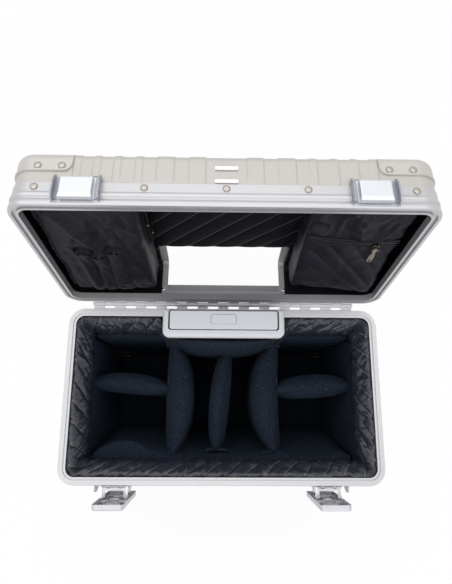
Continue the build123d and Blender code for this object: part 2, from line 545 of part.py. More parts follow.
def padding():
    """Padded insert: floor, four walls, the soft roll under the rim and the movable dividers."""
    skin_in = skin_inset + skin_t
    bottom = body_bottom + guard_t + skin_t
    outer = tower(skin_in + 0.2, bottom, pad_top)
    floor = extrude(Pos(0, (skin_in + floor_back) / 2, floor_under) * RectangleRounded(
        2 * well_x + 40, floor_back - skin_in - 26, inner_r), floor_top - floor_under)
    base_block = block(-well_x - 8, well_x + 8, 20, 208, bottom, floor_under)
    add("pad_floor", floor + base_block)
    wells = both_sides(block(wheel_x - well_w / 2 - 1, wheel_x + well_w / 2 + 1, well_y0 - 1, case_d,
                             0, well_top + 1))
    side = cushion(well_x, case_w / 2 - skin_in - 0.2, 26, 217, floor_top, pad_top, 4)
    add_pair("pad_side", (side & outer) - wells)

    def slope(z, inner, wave):
        line = Spline((-well_x, inner), *[(x, inner + wave * reach) for x, reach in front_wave],
                      (well_x, inner + wave * front_wave[-1][1]))
        back = Polyline(line @ 1, (well_x, skin_in + 0.2), (-well_x, skin_in + 0.2), line @ 0)
        return Pos(0, 0, z) * make_face(line.edges() + back.edges())
    wedge = loft([slope(floor_top, front_foot, 0), slope(pad_mid, front_mid, 0.5),
                  slope(pad_top, well_front - 2, 1)])
    wedge &= outer
    add("pad_front", wedge)
    back = cushion(-well_x, well_x, well_back, tube_y - tube_sizes[0][1] / 2 - 0.5, floor_top, pad_top, 2.4)
    ledge = block(bezel_w / 2 + 2, well_x - 4, well_back + 2, case_d - skin_in - 0.2, pad_top - 12, pad_top)
    add("pad_back", back + both_sides(ledge) - wells)
    bulge = make_face(
        Spline((-bulge_half, bulge_y), (0, bulge_y - bulge_out), (bulge_half, bulge_y)).edges()
        + Polyline((bulge_half, bulge_y), (bulge_half, well_back - gap), (-bulge_half, well_back - gap),
                   (-bulge_half, bulge_y)).edges())
    tower_clear = block(-bezel_w / 2, bezel_w / 2, bezel_y0 + 0.6, case_d, tower_foot - 1, tower_top)
    add("pad_tower", extrude(Pos(0, 0, pad_mid) * bulge, tower_top - bezel_h - 3 - pad_mid) - tower_clear)
    shelf = body_top - frame_deep - 0.5
    foot = body_top - roll_deep
    ring = tower(frame_w + 0.5, shelf, body_top - 1) + tower(skin_in + 0.2, foot, shelf)
    ring -= loft([plan_at(roll_w, body_top - roll_turn), plan_at(roll_lip, body_top - 1)])
    ring -= tower(roll_w, foot - 1, body_top - roll_turn)
    ring -= block(-bulge_half, bulge_half, bulge_y - bulge_out - 2, case_d, foot - 1, body_top + 5)
    add("rim_roll", ring)
    for name, *plan in divider_plan:
        add("divider_" + name, divider(*plan) - Pos(0, 2 * gap, 0) * wedge)


def lid_lining():
    """Quilted lining, the two zipped pockets on it and their zips."""
    skin_in = skin_inset + skin_t
    top = body_top + lid_h - guard_t - skin_t
    outer = soft_box(skin_in + 0.1, body_top + frame_deep + 0.5, top - 0.1, True)
    inner = soft_box(skin_in + lining_t, body_top, top - lining_t, True)
    lining = outer - inner - window_cut(window_flange + 1, 0, 5)
    add("lid_lining", lining, True)
    x0, x1 = organiser_x
    pocket = block(x0, x1, *organiser_y, body_top + organiser_face, top - lining_t - 0.2)
    pocket = fillet(pocket.edges().filter_by(Axis.Z), organiser_r)
    face_edges = pocket.faces().sort_by(Axis.Z)[0].edges()
    add_pair("lid_pocket", fillet(face_edges, organiser_soft), True)
    for side, (x, y, s) in pull_plan.items():
        outward = (0, 0, -1) if side == "right" else (1, 0, 0)
        across = Vector(0, 1, 0).cross(Vector(*outward))
        face = Plane(origin=(x, y, body_top + s), x_dir=across, z_dir=outward)
        slider, pull = zip_slider()
        add("zip_slider_" + side, face * slider, True)
        add("zip_pull_" + side, face * pull, True)


def zip_slider():
    """Slider on a face at Z = 0 with two ears, and the pull that hangs from them along +Y."""
    half, thick = slider_w / 2, pull_t / 2
    slider = fillet(block(-half, half, -slider_l / 2, slider_l / 2, 0, 3).edges().filter_by(Axis.Z), 2)
    ears = both_sides(block(half - 1.4, half, -1.8, 1.8, 2, pull_lift + 1.6))
    hole = rod((-half - 1, 0, pull_lift), (half + 1, 0, pull_lift), pull_rod + running)
    tab = Pos(0, pull_len - tab_l / 2, pull_lift) * Box(tab_w, tab_l, pull_t)
    tab = fillet(tab.edges().filter_by(Axis.Z), 2)
    tab -= Pos(0, pull_len - 4, pull_lift) * extrude(RectangleRounded(3, 3.4, 1), 2, both=True)
    neck = block(-2.2, 2.2, 0, pull_len - tab_l + 2, pull_lift - thick, pull_lift + thick)
    bar = rod((0.1 - half, 0, pull_lift), (half - 0.1, 0, pull_lift), pull_rod)
    return slider + ears - hole, tab + neck + bar


def carry_handle():
    """Bail handle on the lid, hanging from two brackets on a flat seat."""
    top = body_top + lid_h - guard_t
    pivot = top + handle_pivot
    bracket = block(handle_half + 1, handle_half + 1 + bracket_w, handle_y - bracket_d / 2,
                    handle_y + bracket_d / 2, top, top + 2.5)
    lug = extrude(Plane.YZ.offset(handle_half + 1) * (
        Pos(handle_y, pivot) * Circle(eye_r)
        + Pos(handle_y, (top + pivot) / 2) * Rectangle(20, handle_pivot)), 7)
    pin = rod((handle_half - 8, handle_y, pivot), (handle_half + 4, handle_y, pivot), handle_pin)
    add("handle_brackets", both_sides(bracket + lug + pin), True)
    reach = handle_y + handle_reach
    arm = FilletPolyline((handle_half - 5, handle_y, pivot), (handle_half - 5, reach, pivot),
                         (5 - handle_half, reach, pivot), (5 - handle_half, handle_y, pivot), radius=14)
    loop = sweep(Plane(origin=arm @ 0, z_dir=arm % 0) * RectangleRounded(arm_w, arm_w, 3), path=arm)
    eye = extrude(Plane.YZ.offset(handle_half - 10) * Pos(handle_y, pivot) * Circle(eye_r), 10)
    grip = rod((18 - handle_half, reach, pivot), (handle_half - 18, reach, pivot), handle_r)
    hole = rod((handle_half - 12, handle_y, pivot), (handle_half + 1, handle_y, pivot),
               handle_pin + running)
    handle = loop + both_sides(eye) + grip - both_sides(hole)
    add("carry_handle", handle, True)


body_shell()
lid_shell()
window_frame()
trolley()
hinge()
latches()
keepers()
wheels()
padding()
lid_lining()
carry_handle()

hinge_axis = Axis((0, hinge_y, body_top), (1, 0, 0))
handle_point = Pos(0, handle_y, body_top + lid_h - guard_t + handle_pivot) * Sphere(1)
handle_axis = Axis(handle_point.rotate(hinge_axis, -lid_open).center(), (1, 0, 0))
os.makedirs("parts", exist_ok=True)
for name, shape in nodes.items():
    if name in in_lid:
        shape = shape.rotate(hinge_axis, -lid_open)
    if name == "carry_handle":
        shape = shape.rotate(handle_axis, lid_open - 90)
    export_step(Pos(0, -middle_y, 0) * shape, f"parts/{name}.step")
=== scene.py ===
import bmesh
import bpy
import json
import math
from mathutils import Matrix, Vector, noise


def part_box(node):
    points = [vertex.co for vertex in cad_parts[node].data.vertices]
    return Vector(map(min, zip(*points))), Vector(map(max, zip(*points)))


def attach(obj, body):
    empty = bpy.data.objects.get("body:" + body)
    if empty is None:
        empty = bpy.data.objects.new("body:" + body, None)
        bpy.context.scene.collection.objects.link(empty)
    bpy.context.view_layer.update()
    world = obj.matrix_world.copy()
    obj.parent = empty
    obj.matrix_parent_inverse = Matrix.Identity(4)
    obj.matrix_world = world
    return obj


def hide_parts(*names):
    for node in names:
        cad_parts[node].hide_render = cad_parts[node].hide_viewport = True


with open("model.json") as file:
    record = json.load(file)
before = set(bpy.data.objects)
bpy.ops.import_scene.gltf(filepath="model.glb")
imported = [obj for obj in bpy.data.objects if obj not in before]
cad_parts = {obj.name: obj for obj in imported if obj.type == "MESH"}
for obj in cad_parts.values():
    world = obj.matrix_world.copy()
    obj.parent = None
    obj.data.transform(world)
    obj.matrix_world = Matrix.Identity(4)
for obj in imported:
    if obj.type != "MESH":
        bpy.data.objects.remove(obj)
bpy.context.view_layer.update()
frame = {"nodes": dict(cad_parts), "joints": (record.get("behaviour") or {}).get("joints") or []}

nodes = frame["nodes"]
scene = bpy.context.scene
mm = 0.001
print("frame loaded:", len(nodes), "nodes")

# The case's own axes: x across, y back from the front face, z up from the floor, all in mm
hinge = sum(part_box("hinge_pin"), Vector()) / 2
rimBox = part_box("base_rim_frame")
frontY = rimBox[0].y
caseWidth = (rimBox[1].x - rimBox[0].x) / mm
caseDepth = (rimBox[1].y - rimBox[0].y) / mm
rimTop = hinge.z / mm
openAngle = next(j["range_deg"][1] for j in frame["joints"] if j["name"] == "lid_hinge")
lidPlace = (Matrix.Translation(hinge) @ Matrix.Rotation(-math.radians(openAngle), 4, "X")
            @ Matrix.Translation(-hinge))
lidShut = lidPlace.inverted()


def inCase(x, y, z):
    return Vector((x * mm, frontY + y * mm, z * mm))


def inLid(x, y, s):  # s is the height over the parting plane, lid shut
    return lidPlace @ inCase(x, y, rimTop + s)


# Small tools that every piece uses

def pick(piece):
    bpy.ops.object.select_all(action="DESELECT")
    piece.select_set(True)
    bpy.context.view_layer.objects.active = piece


def addPrimitive(kind, **settings):
    bpy.ops.object.select_all(action="DESELECT")
    getattr(bpy.ops.mesh, "primitive_" + kind + "_add")(**settings)
    return bpy.context.object


def placeNew(name, data):
    piece = bpy.data.objects.new(name, data)
    scene.collection.objects.link(piece)
    return piece


def openEdit(piece):
    pick(piece)
    bpy.ops.object.mode_set(mode="EDIT")
    bpy.ops.mesh.select_all(action="SELECT")


def closeEdit():
    bpy.ops.object.mode_set(mode="OBJECT")


def smoothShade(piece):
    pick(piece)
    bpy.ops.object.shade_smooth()


def applyModifier(piece, kind, **settings):
    pick(piece)
    change = piece.modifiers.new(kind.lower(), kind)
    for name, value in settings.items():
        setattr(change, name, value)
    bpy.ops.object.modifier_apply(modifier=change.name)


def changeMesh(piece, work):  # work gets the piece's mesh open for changes
    shape = bmesh.new()
    shape.from_mesh(piece.data)
    work(shape)
    shape.to_mesh(piece.data)
    shape.free()


def facesOut(piece):
    changeMesh(piece, lambda shape: bmesh.ops.recalc_face_normals(shape, faces=shape.faces))


def openEdges(shape):
    return [edge for edge in shape.edges if edge.is_boundary]


def copyPiece(master, place):  # a copy with its own mesh, placed in it
    twin = master.copy()
    twin.data = master.data.copy()
    twin.data.transform(place)
    scene.collection.objects.link(twin)
    return twin


def joinPieces(name, pieces):
    pick(pieces[0])
    for piece in pieces:
        piece.select_set(True)
    bpy.ops.object.join()
    joined = bpy.context.object
    joined.name = joined.data.name = name
    return joined


def wear(piece, look):
    piece.data.materials.clear()
    piece.data.materials.append(finish[look])


def finishHard(piece, look, body):
    wear(piece, look)
    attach(piece, body)


def finishSoft(piece, body, node=None):
    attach(piece, body)
    if node:
        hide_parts(node)


# A Tap is one node output, and arithmetic on it adds Math nodes

class Tap:
    def __init__(self, tree, socket):
        self.tree = tree
        self.socket = socket

    def node(self, kind, settings=None, sockets=None, out=0):
        fresh = self.tree.nodes.new(kind)
        for name, value in (settings or {}).items():
            setattr(fresh, name, value)
        for name, value in (sockets or {}).items():
            if isinstance(value, Tap):
                self.tree.links.new(value.socket, fresh.inputs[name])
            else:
                fresh.inputs[name].default_value = value
        return Tap(self.tree, fresh.outputs[out])

    def math(self, operation, *values):
        return self.node("ShaderNodeMath", {"operation": operation}, dict(enumerate(values)))

    def __add__(self, other):
        return self.math("ADD", self, other)

    def __sub__(self, other):
        return self.math("SUBTRACT", self, other)

    def __rsub__(self, other):
        return self.math("SUBTRACT", other, self)

    def __mul__(self, other):
        return self.math("MULTIPLY", self, other)

    def __truediv__(self, other):
        return self.math("DIVIDE", self, other)

    __radd__ = __add__
    __rmul__ = __mul__

    def size(self):
        return self.math("ABSOLUTE", self)

    def whole(self):
        return self.math("FLOOR", self)

    def step(self, low, high):  # soft step from 0 to 1
        return self.node("ShaderNodeMapRange", {"interpolation_type": "SMOOTHSTEP"},
                         {"Value": self, "From Min": low, "From Max": high})

    def axis(self, name):
        return self.node("ShaderNodeSeparateXYZ", None, {0: self}, out=name)

    def noise(self, scale, detail=2.0, rough=0.5, stretch=(1, 1, 1)):
        spread = self.node("ShaderNodeVectorMath", {"operation": "MULTIPLY"}, {0: self, 1: stretch})
        return self.node("ShaderNodeTexNoise", None, {
            "Vector": spread, "Scale": scale, "Detail": detail, "Roughness": rough})

    def blend(self, first, second):  # self is the factor between two screen colours
        first, second = (tint(*c) if isinstance(c, tuple) else c for c in (first, second))
        return self.node("ShaderNodeMix", {"data_type": "RGBA"}, {0: self, 6: first, 7: second}, out=2)


def tint(red, green, blue):  # screen colour, 0 to 255, as the shader wants it
    def linear(level):
        level /= 255
        return level / 12.92 if level <= 0.04045 else ((level + 0.055) / 1.055) ** 2.4
    return linear(red), linear(green), linear(blue), 1.0


def newFinish(name, lidAxes=False):  # a material and its point in the case's axes, metres
    material = bpy.data.materials.new(name)
    material.use_nodes = True
    material.node_tree.nodes.clear()
    point = Tap(material.node_tree, None).node("ShaderNodeTexCoord", out="Object")
    if lidAxes:  # turned back to where the lid is shut
        point = point.node("ShaderNodeMapping", None, {
            "Vector": point, "Location": lidShut.to_translation(), "Rotation": lidShut.to_euler()})
    return material, point


def endMaterial(point, shader):
    end = point.tree.nodes.new("ShaderNodeOutputMaterial")
    point.tree.links.new(shader.socket, end.inputs["Surface"])


def closeFinish(material, point, colour, rough, metal=0.0, height=None, depth=0.0002, **fixed):
    sockets = {"Base Color": colour, "Roughness": rough, "Metallic": metal}
    if height is not None:
        sockets["Normal"] = point.node("ShaderNodeBump", None, {
            "Height": height, "Distance": depth, "Strength": 1.0})
    for name, value in fixed.items():
        sockets[name.replace("_", " ")] = value
    endMaterial(point, point.node("ShaderNodeBsdfPrincipled", None, sockets))
    return material


# Camera, lamps and floor

view = {"spot": (-0.00752, -0.06165, 1.02148), "tilt": 0.231635, "turn": 0.0693954, "roll": 0.00899317,
        "lens": 29.26, "sensor": 36.0, "far": 50.0}
studio = {"lamps": {"keyLamp": {"spot": (-0.35, 0.65, 2.75), "size": 3.8, "power": 37.0},
                    "fillLamp": {"spot": (0.5, -1.9, 1.7), "size": 1.6, "power": 10.0}},
          "aim": (0, 0, 0.3), "sky": 0.5, "whiteFor": ("Camera", "Glossy", "Transmission"),
          "floorSize": 14.0, "floorTints": ((240, 240, 240), (246, 246, 246)), "floorLift": 0.85,
          "glow": 1.04}


def setCamera():
    tilt, turn = view["tilt"], view["turn"]
    look = Vector((math.sin(turn) * math.sin(tilt), math.cos(turn) * math.sin(tilt), -math.cos(tilt)))
    up = Vector((0, math.cos(tilt), math.sin(tilt)))
    up = (up - look * up.dot(look)).normalized()
    axes = Matrix((look.cross(up), up, -look)).transposed() @ Matrix.Rotation(view["roll"], 3, "Z")
    bpy.ops.object.camera_add(location=view["spot"])
    camera = bpy.context.object
    camera.matrix_world = Matrix.Translation(view["spot"]) @ axes.to_4x4()
    camera.data.sensor_fit = "VERTICAL"
    camera.data.sensor_height = view["sensor"]
    camera.data.lens = view["lens"]
    camera.data.clip_end = view["far"]
    scene.camera = camera


def addLamp(name, spot, size, power):
    bpy.ops.object.light_add(type="AREA", location=spot)
    lamp = bpy.context.object
    lamp.name = name
    lamp.data.shape = "SQUARE"
    lamp.data.size = size
    lamp.data.energy = power
    lamp.rotation_euler = (Vector(studio["aim"]) - Vector(spot)).to_track_quat("-Z", "Y").to_euler()


def rayMask(tap):  # 1 for the ways that see the backdrop as white
    return sum(tap.node("ShaderNodeLightPath", out="Is " + way + " Ray") for way in studio["whiteFor"])


def floorFinish():
    material, point = newFinish("floorFinish")
    speckle = point.noise(3.0).blend(*studio["floorTints"])
    paint = point.node("ShaderNodeBsdfDiffuse", None, {"Color": speckle})
    glow = point.node("ShaderNodeEmission", None, {"Color": (1, 1, 1, 1), "Strength": studio["glow"]})
    lift = rayMask(point) * studio["floorLift"]
    endMaterial(point, point.node("ShaderNodeMixShader", None, {0: lift, 1: paint, 2: glow}))
    return material


def setStudio():
    setCamera()
    for name, lamp in studio["lamps"].items():
        addLamp(name, **lamp)
    world = bpy.data.worlds.new("studioSky")
    world.use_nodes = True
    back = world.node_tree.nodes["Background"]
    back.inputs["Color"].default_value = (1, 1, 1, 1)
    strength = rayMask(Tap(world.node_tree, None)) * (1 - studio["sky"]) + studio["sky"]
    world.node_tree.links.new(strength.socket, back.inputs["Strength"])
    scene.world = world
    scene.view_settings.view_transform = "Standard"
    floor = addPrimitive("plane", size=studio["floorSize"], location=(0, 0, 0))
    floor.name = "floor"
    floor.data.materials.append(floorFinish())


setStudio()
print("camera, lamps and floor set")


# Finishes of the metal and plastic parts

def sheetFinish(lidAxes):  # warm anodised sheet of the walls
    material, point = newFinish("anodisedSheet" + ("Lid" if lidAxes else "Base"), lidAxes)
    cloud = point.noise(14.0, 3.0)
    grain = point.noise(2600.0, 1.0, stretch=(1, 1, 0.35))
    return closeFinish(material, point, cloud.blend((199, 195, 190), (207, 203, 199)),
                       0.40 + cloud * 0.10 + grain * 0.06, 0.35, grain, 0.00002)


def extrusionFinish(lidAxes):  # cooler rim extrusion, drawn along its length
    material, point = newFinish("rimExtrusion" + ("Lid" if lidAxes else "Base"), lidAxes)
    drawn = point.noise(900.0, 2.0, stretch=(0.06, 0.06, 1))
    cloud = point.noise(9.0)
    return closeFinish(material, point, drawn.blend((194, 194, 197), (204, 204, 207)),
                       0.26 + drawn * 0.10 + cloud * 0.05, 0.55, drawn, 0.00001)


keeperLow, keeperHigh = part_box("latch_keeper_left")
keeper = {"middle": abs(keeperLow.x + keeperHigh.x) / 2, "padHalf": 18.6, "blur": 0.4,
          "pad": (226, 229, 234), "cheek": (168, 170, 179)}


def keeperFinish():  # white satin pad between darker cheeks
    material, point = newFinish("castKeeper")
    grit = point.noise(1500.0)
    away = (point.axis("X").size() - keeper["middle"]).size()
    cheek = away.step((keeper["padHalf"] - keeper["blur"]) * mm, (keeper["padHalf"] + keeper["blur"]) * mm)
    return closeFinish(material, point, cheek.blend(keeper["pad"], keeper["cheek"]),
                       0.32 + grit * 0.12, 0.5, grit, 0.00003)


def plainFinish(name, low, high, rough, metal=0.0, grain=(1400.0,), depth=0.00004, cloud=None,
                spread=0.12, lidAxes=False, **fixed):
    material, point = newFinish(name, lidAxes)
    grit = point.noise(*grain)
    patch = point.noise(*cloud) if cloud else grit
    return closeFinish(material, point, patch.blend(low, high), rough + grit * spread, metal,
                       grit if depth else None, depth, **fixed)


cast = {"grain": (1500.0,), "depth": 0.00003, "cloud": (60.0,)}  # satin die-cast metal
plated = {"metal": 1.0, "grain": (180.0, 3.0), "depth": 0.00002}  # steel, bright or dark
moulded = {"cloud": (30.0,)}  # plastic and rubber


# Finishes of the fabrics, with the seams that cross them, in mm

seams = {"roll": {"pitch": 27.0, "slant": 0.95, "thread": 0.6},
         "ceiling": {"pitch": 34.0, "start": 66.0, "thread": 0.7}}


def clothMeasure(point):  # the cloth's own flat measure, metres
    return point.node("ShaderNodeUVMap", {"uv_map": "cloth"})


def threadMask(line, seam):  # 1 on lines a pitch apart
    phase, width = line / (seam["pitch"] * mm), seam["thread"] * mm
    away = (phase - (phase + 0.5).whole()).size() * (seam["pitch"] * mm)
    return 1 - away.step(width * 0.5, width)


def feltFinish():  # navy loop fabric, a little fuzzy
    material, point = newFinish("navyFelt")
    fuzz = point.noise(520.0, 3.0, 0.75)
    patch = point.noise(55.0)
    lint = point.noise(300.0, 1.0).step(0.70, 0.78)
    colour = (fuzz.step(0.28, 0.72) * 0.8 + patch * 0.2).blend((15, 20, 29), (52, 62, 77))
    colour = (lint * 0.35).blend(colour, (105, 115, 130))
    return closeFinish(material, point, colour, 0.95, 0.0, fuzz, 0.0009, Specular_IOR_Level=0.08,
                       Sheen_Weight=0.06, Sheen_Roughness=0.4, Sheen_Tint=tint(120, 140, 170))


def satinFinish():  # charcoal satin of the rim roll, with pale stitching
    material, point = newFinish("charcoalSatin")
    cloth = clothMeasure(point)
    grain = point.noise(1800.0, 1.0)
    thread = threadMask(cloth.axis("X") - cloth.axis("Y") * seams["roll"]["slant"], seams["roll"])
    colour = point.noise(40.0).blend((45, 48, 58), (58, 62, 73))
    colour = (thread * 0.6).blend(colour, (165, 165, 174))
    return closeFinish(material, point, colour, 0.22 + grain * 0.12, 0.0, grain, 0.00005,
                       Specular_IOR_Level=0.5)


def quiltFinish():  # near-black quilted ceiling of the lid
    material, point = newFinish("quiltedSatin")
    cloth = clothMeasure(point)
    grain = point.noise(1600.0, 1.0)
    line = cloth.axis("X") + cloth.axis("Y") - seams["ceiling"]["start"] * mm
    colour = point.noise(30.0).blend((10, 10, 16), (17, 17, 25))
    colour = (threadMask(line, seams["ceiling"]) * 0.7).blend(colour, (120, 118, 122))
    return closeFinish(material, point, colour, 0.45 + grain * 0.12, 0.0, grain, 0.00005,
                       Specular_IOR_Level=0.12)


finish = {}


def dress(look, material, *starts):  # every node whose name starts so wears the look
    finish[look] = material
    for nodeName, node in nodes.items():
        if nodeName.startswith(starts):
            wear(node, look)


dress("skinBase", sheetFinish(False), "base_shell_walls", "base_bottom_tray")
dress("skinLid", sheetFinish(True), "lid_shell")
dress("rimBase", extrusionFinish(False), "base_rim_frame")
dress("rimLid", extrusionFinish(True), "lid_rim_frame")
dress("guard", plainFinish("pressedGuard", (203, 200, 195), (211, 208, 204), 0.34, 0.4, (2200.0, 1.0),
                           0.00002, (25.0,), 0.10), "base_corner_guards", "lid_corner_guards")
# trim bars: the near-white base colour is painted reflection of the bright surroundings, added on top of the
# bars' own gloss
dress("bar", plainFinish("polishedBarPaintedReflection", (246, 246, 247), (254, 254, 254), 0.22, 0.25, (300.0,), None,
                         spread=0.1), "lid_trim_bars")
dress("cast", plainFinish("castLever", (204, 203, 210), (217, 216, 223), 0.32, 0.4, **cast),
      "latch_bracket_", "latch_lever_")
dress("castPad", keeperFinish(), "latch_keeper_")
dress("hinge", plainFinish("hingeSteel", (214, 213, 217), (226, 225, 229), 0.34, 0.15, **cast),
      "hinge_base_leaf", "hinge_lid_leaf", "hinge_pin")
# rivet heads: the base colour is partly their own metal and partly darkened as painted shade standing in for
# their dark tops
dress("rivet", plainFinish("rivetHeadPaintedShade", (166, 159, 151), (186, 180, 173), 0.20, 0.95, **cast))
dress("bright", plainFinish("brightWire", (238, 237, 240), (252, 252, 253), 0.18, 0.3, **cast))
dress("teeth", plainFinish("zipTeeth", (62, 62, 66), (120, 118, 118), 0.30, **plated))
dress("steel", plainFinish("platedSteel", (214, 214, 217), (236, 236, 239), 0.20, **plated),
      "latch_link_", "latch_lock_", "latch_catch_", "wheel_axles")
dress("trolley", plainFinish("greyMoulding", (228, 231, 237), (236, 239, 245), 0.34, **moulded),
      "trolley_bezel", "trolley_grip", "trolley_button")
dress("tube", plainFinish("anodisedTube", (186, 187, 190), (202, 203, 206), 0.28, **plated),
      "trolley_outer_tubes", "trolley_middle_tubes", "trolley_inner_tubes")
dress("black", plainFinish("blackMoulding", (30, 30, 32), (40, 40, 43), 0.42, **moulded),
      "wheel_housing_", "carry_handle", "handle_brackets", "trolley_tower")
dress("tyre", plainFinish("blackRubber", (26, 26, 27), (36, 36, 38), 0.62, grain=(700.0,), **moulded),
      "wheel_left", "wheel_right", "base_feet")
dress("angle", plainFinish("coatedAngle", (186, 184, 190), (204, 202, 208), 0.42, 0.3, (1200.0,), 0.00003,
                           lidAxes=True), "lid_window_frame")
dress("gun", plainFinish("gunMetal", (104, 97, 87), (142, 134, 122), 0.22, **plated),
      "zip_slider_", "zip_pull_")
dress("felt", feltFinish(), "pad_", "divider_")
dress("satin", satinFinish(), "rim_roll")
dress("quilt", quiltFinish())
dress("pocket", plainFinish("pocketSatin", (13, 14, 21), (26, 27, 37), 0.46, 0.0, (1500.0,), 0.00006,
                            (45.0,), 0.14, Specular_IOR_Level=0.24))
dress("lining", plainFinish("darkLining", (12, 12, 17), (20, 20, 26), 0.45, 0.0, (1700.0,), 0.00005,
                            (35.0,), Specular_IOR_Level=0.15), "lid_lining", "lid_pocket_")
print("CAD pieces dressed")


# Cushions and dividers of the insert, swollen by one cloth run

longWall, crossWall = (4.0, 8, -1.5, 2.5, 0.7, 0.84, 1.07), (4.0, 8, -0.5, 2.5, 0.7, 1.14, 0.9)
cushions = {  # node: voxel, smoothing, shrink, furthest move in mm, fill, stretch across and back
    "pad_front": (4.0, 6, 0.5, 3.0, 0.6, 1.0, 1.0), "pad_back": (2.5, 1, 0.2, 0.0, 0.7, 1.0, 1.0),
    "pad_tower": (4.0, 4, 0.5, 3.0, 0.6, 1.0, 1.0), "pad_side_left": (4.0, 3, 1.5, 2.0, 0.7, 1.0, 1.0),
    "pad_side_right": (4.0, 3, 1.5, 2.0, 0.7, 1.0, 1.0), "pad_floor": (5.0, 1, 0.5, 1.0, 0.8, 1.0, 1.0),
    "divider_left_long": longWall, "divider_right_long": longWall,
    "divider_middle": (4.0, 8, -1.5, 2.5, 0.7, 0.88, 1.06),
    "divider_left_cross": crossWall, "divider_right_cross": crossWall}
swell = {"pressure": 4.0, "frames": 20}
crown = {"bin": 8.0, "leastHalf": 4.0, "depth": 24.0, "drop": 13.0, "curve": 2.2}  # dividers' tops
tuck = {"from": 15.0, "least": 2.0, "more": 7.0, "edge": 188.0, "fade": 5.0}  # floor's back edge
frontWave = {"top": 34.0, "humps": [(-138.0, 44.0, 11.0), (60.0, 70.0, 4.5), (185.0, 24.0, 5.0)]}


def copySolid(name, node, look):  # a welded copy of a CAD solid, as a start
    piece = placeNew(name, nodes[node].data.copy())
    piece.data.name = name
    changeMesh(piece, lambda shape: bmesh.ops.remove_doubles(shape, verts=shape.verts, dist=0.01 * mm))
    wear(piece, look)
    return piece


def reachOf(piece, axis):  # least and greatest of the piece on one axis
    places = [vertex.co[axis] for vertex in piece.data.vertices]
    return min(places), max(places)


def stretchPiece(piece, across, back):
    for axis, scale in ((0, across), (1, back)):
        middle = sum(reachOf(piece, axis)) / 2
        for vertex in piece.data.vertices:
            vertex.co[axis] = middle + (vertex.co[axis] - middle) * scale


def shrinkPiece(piece, amount):
    normals = [vertex.normal.copy() for vertex in piece.data.vertices]
    for vertex, normal in zip(piece.data.vertices, normals):
        vertex.co -= normal * amount * mm


def nearTop(vertex, top, depth):  # 1 at the piece's top, 0 at a depth under it
    return max(0.0, 1 - (top - vertex.co.z) / (depth * mm))


def crownTop(piece, lengthways):  # rounds a divider's top edge over its thickness
    across, top = 1 - lengthways, reachOf(piece, 2)[1]
    bins = {}
    for vertex in piece.data.vertices:
        bins.setdefault(round(vertex.co[lengthways] / (crown["bin"] * mm)), []).append(vertex)
    for column in bins.values():
        low, high = min(v.co[across] for v in column), max(v.co[across] for v in column)
        for vertex in column:
            off = abs(vertex.co[across] - (low + high) / 2) / max((high - low) / 2, crown["leastHalf"] * mm)
            vertex.co.z -= crown["drop"] * mm * nearTop(vertex, top, crown["depth"]) * off ** crown["curve"]


def tuckFloor(piece):  # the floor pad's back edge goes under the back pad
    for vertex in piece.data.vertices:
        if vertex.co.y > tuck["from"] * mm:
            inner = min(1.0, max(0.0, (tuck["edge"] - abs(vertex.co.x) / mm) / tuck["fade"]))
            vertex.co.y += (tuck["least"] + tuck["more"] * inner) * mm


def waveFront(piece):  # the front pad's top edge wanders off the wall
    top = reachOf(piece, 2)[1]
    for vertex in piece.data.vertices:
        near, x = nearTop(vertex, top, frontWave["top"]), vertex.co.x / mm
        for place, width, lean in frontWave["humps"]:
            vertex.co.y += lean * mm * near * math.exp(-((x - place) / width) ** 2)


def swellAll(pieces):  # one cloth run for every cushion, then frozen
    for piece, cap in pieces:
        cloth = piece.modifiers.new("swell", "CLOTH")
        cloth.settings.use_pressure = True
        cloth.settings.uniform_pressure_force = swell["pressure"]
        cloth.settings.effector_weights.gravity = 0
        cloth.point_cache.frame_start = 1
        cloth.point_cache.frame_end = swell["frames"]
    for step in range(1, swell["frames"] + 1):
        scene.frame_set(step)
    graph = bpy.context.evaluated_depsgraph_get()
    for piece, cap in pieces:
        swollen = [vertex.co.copy() for vertex in piece.evaluated_get(graph).data.vertices]
        for vertex, end in zip(piece.data.vertices, swollen):
            move = end - vertex.co
            vertex.co += move * min(1.0, cap * mm / (move.length or mm))
    for piece, cap in pieces:
        piece.modifiers.clear()
    scene.frame_set(1)


def makeCushions():
    made = []
    for node, (voxel, soften, shrink, cap, fill, across, back) in cushions.items():
        piece = copySolid(node.replace("pad_", "foam_").replace("divider_", "wall_"), node, "felt")
        applyModifier(piece, "REMESH", mode="VOXEL", voxel_size=voxel * mm)
        applyModifier(piece, "SMOOTH", factor=0.5, iterations=soften)
        shrinkPiece(piece, shrink)
        stretchPiece(piece, across, back)
        if node == "pad_front":
            waveFront(piece)
        if node == "pad_floor":
            tuckFloor(piece)
        if node.startswith("divider"):
            crownTop(piece, 0 if node.endswith("cross") else 1)
        made.append((piece, cap))
        finishSoft(piece, "case_body", node)
    swellAll([entry for entry in made if entry[1] > 0])
    for piece, cap in made:
        applyModifier(piece, "SUBSURF", levels=1, render_levels=1)
        smoothShade(piece)
    return [piece for piece, cap in made]


soft = makeCushions()
print("cushions swollen:", len(soft))


# Cloth made by formula: rows of points, each with its place on the flat cloth

def ripple(a, b, seed=0.0):  # smooth noise, -1 to 1
    return noise.noise(Vector((a, b, seed)))


def crease(a, b, seed=0.0):  # sharp folds, 0 to 1
    return 1 - min(1.0, 2.2 * abs(noise.noise(Vector((a, b, seed)))))


def hump(distance, width):  # 1 at the middle, fading out over a width
    return math.exp(-(distance / width) ** 2)


